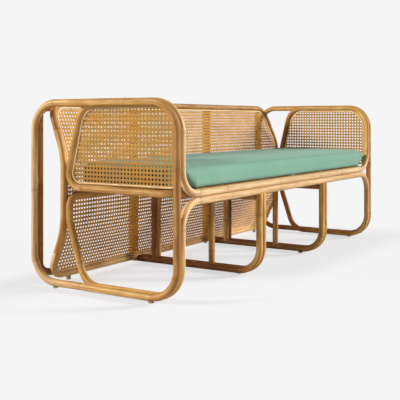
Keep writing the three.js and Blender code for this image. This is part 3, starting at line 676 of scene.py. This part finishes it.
def fit_cushion(points, sizes):
    """Keeps the cushion in its place: flat on the rails below, with its lower edge lifted by a
    smooth step of the distance from the side, and inside the space between arms and back. Ahead
    of the front rail's crown the underside follows the circle of the rail."""
    low, high = CUSHION_LOW, CUSHION_HIGH
    points = np.clip(fill_front(points, sizes), low - [0, sizes.front_overhang, ROOM_BELOW],
                     high + [0, 0, ROOM_ABOVE])
    points = beside_bends(points, 0, sizes)
    from_side = np.minimum(points - low, high - points)[:, :2].min(axis=1)
    near_side = 1 - np.clip(from_side / sizes.lip_width, 0, 1)
    near_floor = 1 - np.clip((points[:, 2] - low[2]) / (3 * sizes.lip_width), 0, 1)
    points[:, 2] += sizes.lip_rise * smooth_step(near_side) * near_floor
    ahead = np.clip(FRONT_Y - points[:, 1], 0, 0.9 * POLE_RADIUS)
    fall = POLE_RADIUS - np.sqrt(POLE_RADIUS ** 2 - ahead ** 2)
    points[:, 2] -= fall * (1 - smooth_step((points[:, 2] - low[2]) / sizes.fall_height))
    return points


def painted_cushion_shade(points):
    """Mask of the painted shade on the two ends and the underside, where shade falls between the
    cushion, the arms and the rails: smooth steps of the distance from the end, the front, the top
    and the underside."""
    low, high = points.min(axis=0), points.max(axis=0)
    from_end = np.minimum(points[:, 0] - low[0], high[0] - points[:, 0])
    ends = (smooth_step(1 - (from_end - END_SHADE_WIDTH) / END_SHADE_FADE)
            * smooth_step((points[:, 1] - low[1] - FRONT_CLEAR) / FRONT_FADE)
            * smooth_step((high[2] - TOP_CLEAR - points[:, 2]) / END_SHADE_FADE))
    under = smooth_step((low[2] + UNDERSIDE_HEIGHT - points[:, 2]) / UNDERSIDE_FADE)
    return np.maximum(ends, under)


# Node groups and materials

class Value:
    """What a node puts out at one socket. A sign between two values makes the node for it."""

    def __init__(self, socket):
        self.socket, self.tree = socket, socket.id_data

    def maths(self, operation, *others, clamp=False):
        return output(self.tree, "ShaderNodeMath", dict(enumerate((self, *others))),
                      operation=operation, use_clamp=clamp)

    def __add__(self, other):
        return self.maths("ADD", other)

    def __sub__(self, other):
        return self.maths("SUBTRACT", other)

    def __rsub__(self, other):
        return output(self.tree, "ShaderNodeMath", {0: other, 1: self}, operation="SUBTRACT")

    def __mul__(self, other):
        return self.maths("MULTIPLY", other)

    def between(self, from_low, from_high, to_low=0.0, to_high=1.0, smooth=False):
        """Runs over the second pair of numbers as the value runs over the first pair."""
        return output(self.tree, "ShaderNodeMapRange",
                      {0: self, 1: from_low, 2: from_high, 3: to_low, 4: to_high},
                      interpolation_type="SMOOTHSTEP" if smooth else "LINEAR")

    def blend(self, first, second):
        """Runs from the first colour to the second as the value runs from 0 to 1."""
        return output(self.tree, "ShaderNodeMix", {0: self, 6: first, 7: second}, 2, data_type="RGBA")


def put(value, socket):
    """Links a value to a socket, or sets the socket to a constant."""
    if isinstance(value, Value):
        value.tree.links.new(value.socket, socket)
    else:
        socket.default_value = value


def node(tree, kind, inputs=None, **settings):
    made = tree.nodes.new(kind)
    for key, value in settings.items():
        setattr(made, key, value)
    for key, value in (inputs or {}).items():
        put(value, made.inputs[key])
    return made


def output(tree, kind, inputs=None, socket=0, **settings):
    return Value(node(tree, kind, inputs, **settings).outputs[socket])


def noise(tree, where, scale, detail=2.0, roughness=0.5):
    return output(tree, "ShaderNodeTexNoise", {"Vector": where, "Scale": scale, "Detail": detail,
                                               "Roughness": roughness})


def own_space(tree):
    return output(tree, "ShaderNodeTexCoord", None, "Object")


def axes_of(tree, vector):
    return [Value(socket) for socket in node(tree, "ShaderNodeSeparateXYZ", {0: vector}).outputs]


def new_group(name, inputs, outputs):
    """An empty group, its inputs by name as values, and the sockets of its outputs."""
    tree = bpy.data.node_groups.new(name, "ShaderNodeTree")
    for label, default in inputs.items():
        kind = "NodeSocketColor" if isinstance(default, tuple) else "NodeSocketFloat"
        tree.interface.new_socket(label, in_out="INPUT", socket_type=kind).default_value = default
    for label in outputs:
        kind = "NodeSocketColor" if label == "Color" else "NodeSocketFloat"
        tree.interface.new_socket(label, in_out="OUTPUT", socket_type=kind)
    given = {socket.name: Value(socket) for socket in tree.nodes.new("NodeGroupInput").outputs}
    return tree, given, tree.nodes.new("NodeGroupOutput").inputs


def bark_group():
    """Rattan bark that follows the pole: long streaks, slow patches, fine dark flecks, and at each
    growth ring a thin dark line in a darker band. The tone attribute darkens the bark towards the
    dark colour and pales it towards the pale colour, partly as the bark's own tone and partly as
    painted shade and painted light."""
    tree, given, out = new_group("Rattan bark", {
        "Fair": (0.72, 0.47, 0.2, 1), "Middle": (0.5, 0.27, 0.09, 1),
        "Dark": (0.16, 0.06, 0.02, 1), "Pale and lit": (0.74, 0.59, 0.40, 1),
        "Streaks": 1.0, "Rings": 1.0}, ("Color", "Roughness", "Height"))
    turn, along, _ = axes_of(tree, output(tree, "ShaderNodeUVMap"))
    turn = turn * (2 * math.pi)
    ring = {key: turn.maths(word) * POLE_RADIUS for key, word in enumerate(("COSINE", "SINE"))}

    def stretched(share, *kind):
        where = output(tree, "ShaderNodeCombineXYZ", {**ring, 2: along * share})
        return noise(tree, where, *kind)

    streak, broad = stretched(0.035, 330.0, 4.0, 0.6), stretched(0.03, 110.0)
    patch, fleck = stretched(0.6, 22.0), stretched(0.16, 900.0)
    tone, distance = (output(tree, "ShaderNodeAttribute", None, "Fac", attribute_name=name)
                      for name in ("tone", "ring_distance"))
    wobble = distance + (patch - 0.5) * 0.0016
    line = wobble.between(0.0006, 0.0019, 1.0, 0.0, smooth=True)
    band = wobble.between(0.002, 0.013, 1.0, 0.0, smooth=True)

    mixed = streak * 0.5 + broad * 0.5
    streaks = mixed.between(0.43, 0.57) * given["Streaks"]
    # Painted shade and light: a positive tone darkens the bark, a negative tone pales it.
    dark_and_shaded_share = tone * patch.between(0.25, 0.75, 0.7, 0.95)
    pale_and_lit_share = tone * -0.8 * mixed.between(0.4, 0.6, 1.0, 0.55)
    colour = given["Fair"]
    for share, shade in ((streaks, "Middle"), (patch.between(0.35, 0.7, 0.0, 0.5), "Middle"),
                         (dark_and_shaded_share, "Dark"), (pale_and_lit_share.maths("MAXIMUM", 0.0), "Pale and lit"),
                         (fleck.between(0.63, 0.75, 0.0, 0.4), "Dark"),
                         (band * (given["Rings"] * 0.16), "Dark"),
                         (line * (given["Rings"] * 0.62), "Dark")):
        colour = share.blend(colour, given[shade])
    put(colour, out["Color"])
    put(streak.between(0.3, 0.7, 0.48, 0.64) + line * 0.25, out["Roughness"])
    put(streak * 0.5 - line * 0.5, out["Height"])
    return tree


def patches_group():
    """Slow change of tone over a surface, with fine specks, from noise in the piece's own space."""
    tree, given, out = new_group("Tone patches", {
        "Fair": (0.8, 0.8, 0.8, 1), "Dark": (0.4, 0.4, 0.4, 1), "Patch scale": 8.0,
        "Speck scale": 700.0, "Specks": 0.3}, ("Color", "Patches", "Height"))
    where = own_space(tree)
    patch = noise(tree, where, given["Patch scale"], 3.0)
    speck = noise(tree, where, given["Speck scale"])
    share = patch.between(0.3, 0.7).maths("ADD", (speck - 0.5) * given["Specks"], clamp=True)
    put(share.blend(given["Fair"], given["Dark"]), out["Color"])
    put(patch, out["Patches"])
    put(speck, out["Height"])
    return tree


def weave_group():
    """Plain cloth: threads across and along, as the product of two waves, with slubs of noise."""
    tree, given, out = new_group("Plain weave", {
        "Thread": 0.0011, "Colour": (0.27, 0.47, 0.37, 1), "Shade": (0.2, 0.37, 0.29, 1)},
        ("Color", "Height"))
    x, y, z = axes_of(tree, own_space(tree))
    rate = output(tree, "ShaderNodeMath", {0: 2 * math.pi, 1: given["Thread"]}, operation="DIVIDE")
    waves = (x * rate).maths("SINE") * ((y + z) * rate).maths("SINE")
    height = waves * 0.25 + noise(tree, own_space(tree), 420.0, 3.0)
    put(height.between(0.2, 0.8).blend(given["Shade"], given["Colour"]), out["Color"])
    put(height, out["Height"])
    return tree


MAKERS = {"bark": bark_group, "patches": patches_group, "weave": weave_group}
GROUPS = {}


def use_group(tree, name, **inputs):
    """Places a group, which is built at its first use, and gives its outputs by name."""
    if name not in GROUPS:
        GROUPS[name] = MAKERS[name]()
    inputs = {key.replace("_", " ").capitalize(): value for key, value in inputs.items()}
    made = node(tree, "ShaderNodeGroup", inputs, node_tree=GROUPS[name])
    return {socket.name: Value(socket) for socket in made.outputs}


def new_material(name, roughness=0.5, **sockets):
    material = bpy.data.materials.new(name)
    material.use_nodes = True
    shader = material.node_tree.nodes["Principled BSDF"].inputs
    put(roughness, shader["Roughness"])
    for key, value in sockets.items():
        put(value, shader[key.replace("_", " ").title().replace("Ior", "IOR")])
    return material, material.node_tree, shader


def finish_surface(tree, shader, colour, rough, height, strength, depth):
    put(colour, shader["Base Color"])
    put(rough, shader["Roughness"])
    put(output(tree, "ShaderNodeBump", {"Height": height, "Strength": strength,
                                        "Distance": depth}), shader["Normal"])


def bark_material(name, sockets, strength, depth, **tones):
    material, tree, shader = new_material(name, **sockets)
    bark = use_group(tree, "bark", **tones)
    finish_surface(tree, shader, bark["Color"], bark["Roughness"], bark["Height"], strength, depth)
    return material


def patch_material(name, fair, dark, roughness, patch_scale, speck_scale, specks, strength, depth):
    material, tree, shader = new_material(name, roughness, specular_ior_level=0.25)
    patches = use_group(tree, "patches", fair=fair, dark=dark, patch_scale=patch_scale,
                        speck_scale=speck_scale, specks=specks)
    rough = patches["Patches"].between(0.3, 0.7, roughness - 0.08, roughness + 0.08)
    finish_surface(tree, shader, patches["Color"], rough, patches["Height"], strength, depth)
    return material


def fabric_material(colours):
    material, tree, shader = new_material("cushion_cloth", 0.9, sheen_weight=0.08, sheen_roughness=0.5)
    cloth = use_group(tree, "weave", colour=colours.fabric, shade=colours.fabric_shade)
    patches = use_group(tree, "patches", fair=(1, 1, 1, 1), dark=(0.93, 0.94, 0.94, 1),
                        patch_scale=5.0, specks=0.1)
    colour = output(tree, "ShaderNodeMix", {0: 1.0, 6: cloth["Color"], 7: patches["Color"]}, 2,
                    data_type="RGBA", blend_type="MULTIPLY")
    # Painted shade: the ends and underside of the cushion blend to a near black.
    panel = output(tree, "ShaderNodeAttribute", None, "Fac", attribute_name="painted_cushion_shade")
    finish_surface(tree, shader, panel.blend(colour, tuple(colours.painted_cushion_shade)),
                   patches["Patches"].between(0.3, 0.7, 0.84, 0.96), cloth["Height"], 0.4, 0.0005)
    return material


def finish_piece(obj, material, slot, *nodes):
    obj.data.materials.clear()
    obj.data.materials.append(material)
    if nodes:
        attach(obj, "root")
        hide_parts(*nodes)


# Floor and sky

def make_floor(sizes):
    """Pale floor. Its own glow hides all but a share of what the light does to it, and that share
    fades by a smooth step of the distance from the sofa."""
    span = np.linspace(-FLOOR_REACH, FLOOR_REACH, 3)
    x, y = np.meshgrid(span, span, indexing="ij")
    points = np.stack([x.ravel(), y.ravel(), x.ravel() * 0], axis=1)
    quads = np.array([0, 1, 3, 4])[:, None] + [0, 3, 4, 1]
    floor = build_mesh("floor", points, quads)
    material, tree, shader = new_material("pale_floor", 0.9, specular_ior_level=0.0)
    seen = output(tree, "ShaderNodeLightPath", None, "Is Camera Ray")
    across, deep = sizes.shadow_reach
    place = output(tree, "ShaderNodeMapping", {"Vector": own_space(tree),
                                               "Scale": (1 / across, 1 / deep, 0)})
    place = output(tree, "ShaderNodeVectorMath", {0: place}, operation="ABSOLUTE")
    from_side, from_front, _ = axes_of(tree, place)
    depth = from_side.maths("MAXIMUM", from_front).between(
        0.8, 1.3, sizes.shadow_depth, sizes.shadow_depth * 0.1, smooth=True)
    put(sizes.floor_colour, shader["Emission Color"])
    put(seen * (1.0 - depth), shader["Emission Strength"])
    bright = [channel / sizes.floor_level for channel in sizes.floor_colour[:3]]
    lit = depth.blend((0, 0, 0, 1), (*bright, 1))
    put(seen.blend((0.7, 0.7, 0.7, 1), lit), shader["Base Color"])
    floor.data.materials.append(material)


def make_sky(scene, sizes):
    """Even light, which the camera sees in the colour of the floor."""
    world = bpy.data.worlds.new("plain_sky")
    scene.world = world
    world.use_nodes = True
    tree = world.node_tree
    tree.nodes.clear()
    light, seen = (output(tree, "ShaderNodeBackground", {"Color": shade, "Strength": strength})
                   for shade, strength in (((1, 1, 1, 1), sizes.sky_strength),
                                           (tuple(sizes.floor_colour), 1.0)))
    path = node(tree, "ShaderNodeLightPath").outputs
    direct = Value(path["Is Camera Ray"]).maths("MAXIMUM", Value(path["Is Transmission Ray"]))
    mix = output(tree, "ShaderNodeMixShader", {0: direct, 1: light, 2: seen})
    put(mix, node(tree, "ShaderNodeOutputWorld").inputs[0])


# Settings

def number(description, default, **limits):
    return bpy.props.FloatProperty(description=description, default=default, **limits)


def length(description, default):
    return number(description, default, unit="LENGTH", precision=5)


def colour(description, default):
    return bpy.props.FloatVectorProperty(description=description, default=default,
                                         subtype="COLOR", size=4, min=0, max=1)


class SofaPoleSettings(bpy.types.PropertyGroup):
    """Sizes of the rattan poles and their growth rings."""

    pole_radius: length("Radius of every frame pole", POLE_RADIUS)
    bark_room: length("How much thinner a pole is than its solid", 0.0001)
    pole_sides: bpy.props.IntProperty(description="Points round a pole", default=22)
    straight_step: length("Spacing of the rings of points on a straight", 0.045)
    ring_least: length("Shortest piece between two growth rings", 0.22)
    ring_most: length("Longest piece between two growth rings", 0.47)
    ring_fade: length("How far the faintest growth rings are blurred", 0.0014)
    swelling: length("How far a growth ring stands out", 0.0004)
    groove: length("Depth of the line round a growth ring", 0.0005)
    wave_length: length("Length of the slow change in thickness", 0.37)
    wave_height: length("Height of the slow change in thickness", 0.0001)


class SofaCaneSettings(bpy.types.PropertyGroup):
    """Sizes of the cane webbing."""

    pitch: length("Spacing of the pairs of strands", 0.0158)
    pair: length("Spacing of the two strands of a pair", 0.0037)
    width: length("Width of a straight strand", 0.0033)
    diagonal_width: length("Width of a diagonal strand", 0.0031)
    arm_shift: length("How far the arm sheet lies inside its edge rods", 0.0025)
    arm_fullness: number("Share of the strands' width in the arms", 0.96)
    back_fullness: number("Share of the strands' width in the back", 1.15)
    thickness: length("Thickness of a strand", 0.0018)
    lift: length("How far a straight strand passes over or under", 0.0009)
    diagonal_lift: length("How far a diagonal passes over or under", 0.0021)


class SofaCushionSettings(bpy.types.PropertyGroup):
    """Sizes and filling of the seat cushion."""

    front_corner: length("Radius of the front corners in plan", 0.016)
    rear_corner: length("Radius of the rear corners in plan", 0.068)
    give_length: length("Length of end that gives way to the bent poles", 0.028)
    top_radius: length("Radius of the top edge", 0.022)
    low_radius: length("Radius of the bottom edge", 0.007)
    crown: length("Rise of the middle of the top", 0.006)
    draw_in: length("How far the sides draw in", 0.005)
    lip_width: length("Width of the lifted edge of the underside", 0.022)
    lip_rise: length("How far the edge of the underside lifts off the rails", 0.001)
    corner_fill: length("How far from a front corner the filling squares it", 0.034)
    front_overhang: length("How far the front stands proud over its rail", 0.015)
    fall_height: length("Height of the front that falls with its lower edge", 0.04)
    overhang_run: length("Depth of cushion that follows the overhang", 0.09)
    slack: length("How much smaller the cover starts than its place", 0.004)
    face_size: length("Size of the faces of the cover", 0.0095)
    pressure: number("Pressure of the filling", 4.0)
    cap: length("Furthest that the filling may push the cover", 0.012)


class SofaColourSettings(bpy.types.PropertyGroup):
    """Colours of the finishes."""

    rattan_fair: colour("Fair tone of the bark", (0.82, 0.52, 0.175, 1))
    rattan_middle: colour("Middle tone of the bark", (0.47, 0.205, 0.034, 1))
    # The dark tone colours the growth rings and flecks, and also the painted shade on poles of high tone.
    rattan_dark: colour("Dark tone of the bark", (0.18, 0.048, 0.011, 1))
    trim_fair: colour("Fair tone of the edge rods", (0.93, 0.68, 0.35, 1))
    trim_middle: colour("Middle tone of the edge rods", (0.72, 0.43, 0.16, 1))
    cane_fair: colour("Fair tone of the cane", (0.83, 0.445, 0.08, 1))
    cane_arm_fair: colour("Fair tone of the cane in the arms", (0.49, 0.31, 0.105, 1))
    cane_dark: colour("Dark tone of the cane", (0.63, 0.30, 0.042, 1))
    fabric: colour("Colour of the cushion", (0.205, 0.39, 0.285, 1))
    # Painted shade: near black on the cushion's ends and underside, where shade falls against the arms and
    # the rails.
    painted_cushion_shade: colour("Lining of the two ends of the cushion", (0.03, 0.03, 0.02, 1))
    fabric_shade: colour("Colour between the threads", (0.145, 0.305, 0.215, 1))


class SofaStageSettings(bpy.types.PropertyGroup):
    """Floor and light."""

    floor_colour: colour("Colour of the floor and of what is behind", (0.913, 0.913, 0.920, 1))
    shadow_depth: number("How strongly the floor shows the shadow", 0.3, min=0, max=1)
    shadow_reach: bpy.props.FloatVectorProperty(
        description="Half length and half depth of the floor that keeps the whole shadow",
        default=(1.18, 0.47), size=2, subtype="XYZ_LENGTH", unit="LENGTH")
    floor_level: number("Light that falls on the open floor", 1.10)
    sky_strength: number("Strength of the even light", 0.2)
    key_strength: number("Strength of the lamp at the front", 4.1)
    side_strength: number("Strength of the lamp at the left", 3.35)


SETTINGS = (("sofa_poles", SofaPoleSettings), ("sofa_cane", SofaCaneSettings),
            ("sofa_cushion", SofaCushionSettings), ("sofa_colours", SofaColourSettings),
            ("sofa_stage", SofaStageSettings))


# Operators

class SOFA_OT_poles(bpy.types.Operator):
    """Make the bent rattan poles of the frame"""

    bl_idname = "sofa.poles"
    bl_label = "Poles"

    def execute(self, context):
        colours = context.scene.sofa_colours
        rng = np.random.default_rng(7)
        coat = {"coat_weight": 0.03, "coat_roughness": 0.35, "specular_ior_level": 0.25}
        material = bark_material("rattan_bark", coat, 0.35, 0.0006, fair=colours.rattan_fair,
                                 middle=colours.rattan_middle, dark=colours.rattan_dark)
        for pole in all_poles():
            finish_piece(make_pole(*pole, context.scene.sofa_poles, rng), material, "rattan", pole[0])
        return {"FINISHED"}


class SOFA_OT_edge_rods(bpy.types.Operator):
    """Make the thin rods round the cane panels"""

    bl_idname = "sofa.edge_rods"
    bl_label = "Edge rods"

    def execute(self, context):
        colours = context.scene.sofa_colours
        material = bark_material("peeled_rattan_rod", {"coat_weight": 0.1}, 0.25, 0.0004,
                                 fair=colours.trim_fair, middle=colours.trim_middle,
                                 dark=colours.rattan_dark, rings=0.25)
        lines = []
        for hand, side in SIDES:
            points, tangents = bend(*arm_outline(TRIM_INSET), closed=True)
            lines.append((f"{hand}_arm_trim", (points + [side * BOW_X, 0, 0], tangents), True))
        for half, level in HALVES:
            flat, _ = bend(*back_outline(level, TRIM_INSET))
            even = np.linspace(0, lengths_along(flat)[-1], ROD_POINTS)
            flat, _ = pick((flat, np.ones_like(flat)), even)
            points = on_back(level, flat)
            lines.append((f"back_{half}_trim", (points, unit(np.gradient(points, axis=0))), False))
        for index, (name, line, closed) in enumerate(lines):
            along = lengths_along(line[0])
            places = np.concatenate([along, np.arange(0, along[-1], ROD_STEP)])
            places = np.unique(np.round(places, 5))
            places = np.concatenate([places[places < along[-1] - CLOSEST], along[-1:]])
            plain = np.ones(len(places))
            tone = 0.35 if name == "left_arm_trim" else 0.0
            rod = tube(f"rod_{name}", line, places, plain * ROD_RADIUS, ROD_SIDES, closed,
                       {"ring_distance": plain * 0.2, "tone": plain * tone}, 3.0 * index)
            finish_piece(rod, material, "trim", name)
        return {"FINISHED"}


class SOFA_OT_cane(bpy.types.Operator):
    """Make the woven cane of the arms and the back"""

    bl_idname = "sofa.cane"
    bl_label = "Cane"

    def execute(self, context):
        colours, sizes = context.scene.sofa_colours, context.scene.sofa_cane
        arm, back = (patch_material(name, fair, colours.cane_dark, 0.5, 14.0, 420.0, 2.2, 0.3, 0.0003)
                     for name, fair in (("cane_of_arms", colours.cane_arm_fair),
                                        ("cane_of_back", colours.cane_fair)))
        for hand, side in SIDES:
            edge, _ = bend(*arm_outline(CANE_INSET), closed=True)
            points, quads, caps = weave(edge[:-1, 1:][::-1], sizes,
                                        ("up", "across", "rising", "falling"), sizes.arm_fullness)
            placed = points[:, [2, 0, 1]] + [side * (BOW_X - sizes.arm_shift), 0, 0]
            panel = build_mesh(f"cane_{hand}_arm", placed, quads, caps)
            finish_piece(panel, arm, "cane", f"{hand}_arm_cane")
        for half, level in HALVES:
            edge, _ = bend(*back_outline(level, CANE_INSET, start=0.0))
            for part, families in (("up", ("up", "rising")), ("across", ("across", "falling"))):
                points, quads, caps = weave(edge[:, :2], sizes, families, sizes.back_fullness)
                if level < 0:
                    quads, caps = quads[:, ::-1], [cap[::-1] for cap in caps]
                panel = build_mesh(f"cane_back_{half}_{part}", on_back(level, points), quads, caps)
                finish_piece(panel, back, "cane", f"back_{half}_cane")
        return {"FINISHED"}


class SOFA_OT_cushion(bpy.types.Operator):
    """Make the stuffed seat cushion"""

    bl_idname = "sofa.cushion"
    bl_label = "Cushion"

    def execute(self, context):
        sizes = context.scene.sofa_cushion
        points, quads, caps = cushion_form(sizes.slack, sizes)
        cushion = build_mesh("seat_cushion", points, quads, caps)
        points = fit_cushion(stuff(cushion, sizes), sizes)
        cushion.data.vertices.foreach_set("co", points.astype(np.float32).ravel())
        cushion.data.polygons.foreach_set("use_smooth", np.ones(len(cushion.data.polygons), bool))
        shade = cushion.data.attributes.new("painted_cushion_shade", "FLOAT", "POINT")
        shade.data.foreach_set("value", painted_cushion_shade(points).astype(np.float32))
        cushion.data.update()
        smooth = cushion.modifiers.new("smooth", "SUBSURF")
        smooth.levels = smooth.render_levels = 1
        finish_piece(cushion, fabric_material(context.scene.sofa_colours), "cushion_fabric",
                     "cushion_cover", "cushion_foam")
        return {"FINISHED"}


class SOFA_OT_small_parts(bpy.types.Operator):
    """Finish the seat slats and the glides, which keep their solids"""

    bl_idname = "sofa.small_parts"
    bl_label = "Slats and glides"

    def execute(self, context):
        slat = patch_material("slat_wood", (0.52, 0.35, 0.18, 1), (0.36, 0.21, 0.09, 1), 0.62, 9.0,
                              500.0, 0.9, 0.3, 0.0005)
        glide = patch_material("glide_nylon", (0.50, 0.44, 0.34, 1), (0.38, 0.33, 0.25, 1), 0.5,
                               60.0, 1500.0, 0.4, 0.2, 0.0002)
        for name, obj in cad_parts.items():
            if name.startswith("seat_slat"):
                finish_piece(obj, slat, "slat")
            elif name.endswith("_glide"):
                finish_piece(obj, glide, "glide")
        return {"FINISHED"}


class SOFA_OT_stage(bpy.types.Operator):
    """Make the floor, the light and the camera"""

    bl_idname = "sofa.stage"
    bl_label = "Stage"

    def execute(self, context):
        sizes = context.scene.sofa_stage
        make_floor(sizes)
        make_sky(context.scene, sizes)
        for name, strength, turn in (("key", sizes.key_strength, KEY_TURN),
                                     ("side", sizes.side_strength, SIDE_TURN)):
            light = bpy.data.lights.new(name, "SUN")
            light.energy, light.angle = strength, math.radians(LAMP_SPREAD)
            new_object(name, light).rotation_euler = math.radians(LAMP_LEAN), 0, math.radians(turn)
        data = bpy.data.cameras.new("camera")
        data.lens, data.sensor_width, data.shift_y = LENS, SENSOR_WIDTH, LENS_SHIFT
        data.clip_start, data.clip_end = 0.05, 200
        camera = new_object("camera", data)
        camera.location = CAMERA_PLACE
        camera.rotation_euler = math.radians(90), 0, math.radians(CAMERA_TURN)
        context.scene.camera = camera
        context.scene.view_settings.view_transform = "Standard"
        return {"FINISHED"}


OPERATORS = (SOFA_OT_poles, SOFA_OT_edge_rods, SOFA_OT_cane, SOFA_OT_cushion,
             SOFA_OT_small_parts, SOFA_OT_stage)


class SOFA_PT_panel(bpy.types.Panel):
    """Settings and steps of the sofa."""

    bl_idname = "SOFA_PT_panel"
    bl_label = "Garden sofa"
    bl_space_type = "VIEW_3D"
    bl_region_type = "UI"
    bl_category = "Sofa"

    def draw(self, context):
        for key, settings in SETTINGS:
            box = self.layout.box()
            for prop in settings.__annotations__:
                label = prop.replace("_", " ").capitalize()
                box.prop(getattr(context.scene, key), prop, text=label)
        for operator in OPERATORS:
            self.layout.operator(operator.bl_idname)


def register():
    for key, settings in SETTINGS:
        bpy.utils.register_class(settings)
        setattr(bpy.types.Scene, key, bpy.props.PointerProperty(type=settings))
    for item in (*OPERATORS, SOFA_PT_panel):
        bpy.utils.register_class(item)


def unregister():
    for item in reversed((*OPERATORS, SOFA_PT_panel)):
        bpy.utils.unregister_class(item)
    for key, settings in reversed(SETTINGS):
        delattr(bpy.types.Scene, key)
        bpy.utils.unregister_class(settings)


def main():
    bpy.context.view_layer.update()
    register()
    for operator in OPERATORS:
        family, word = operator.bl_idname.split(".")
        getattr(getattr(bpy.ops, family), word)()


if __name__ == "__main__":
    main()
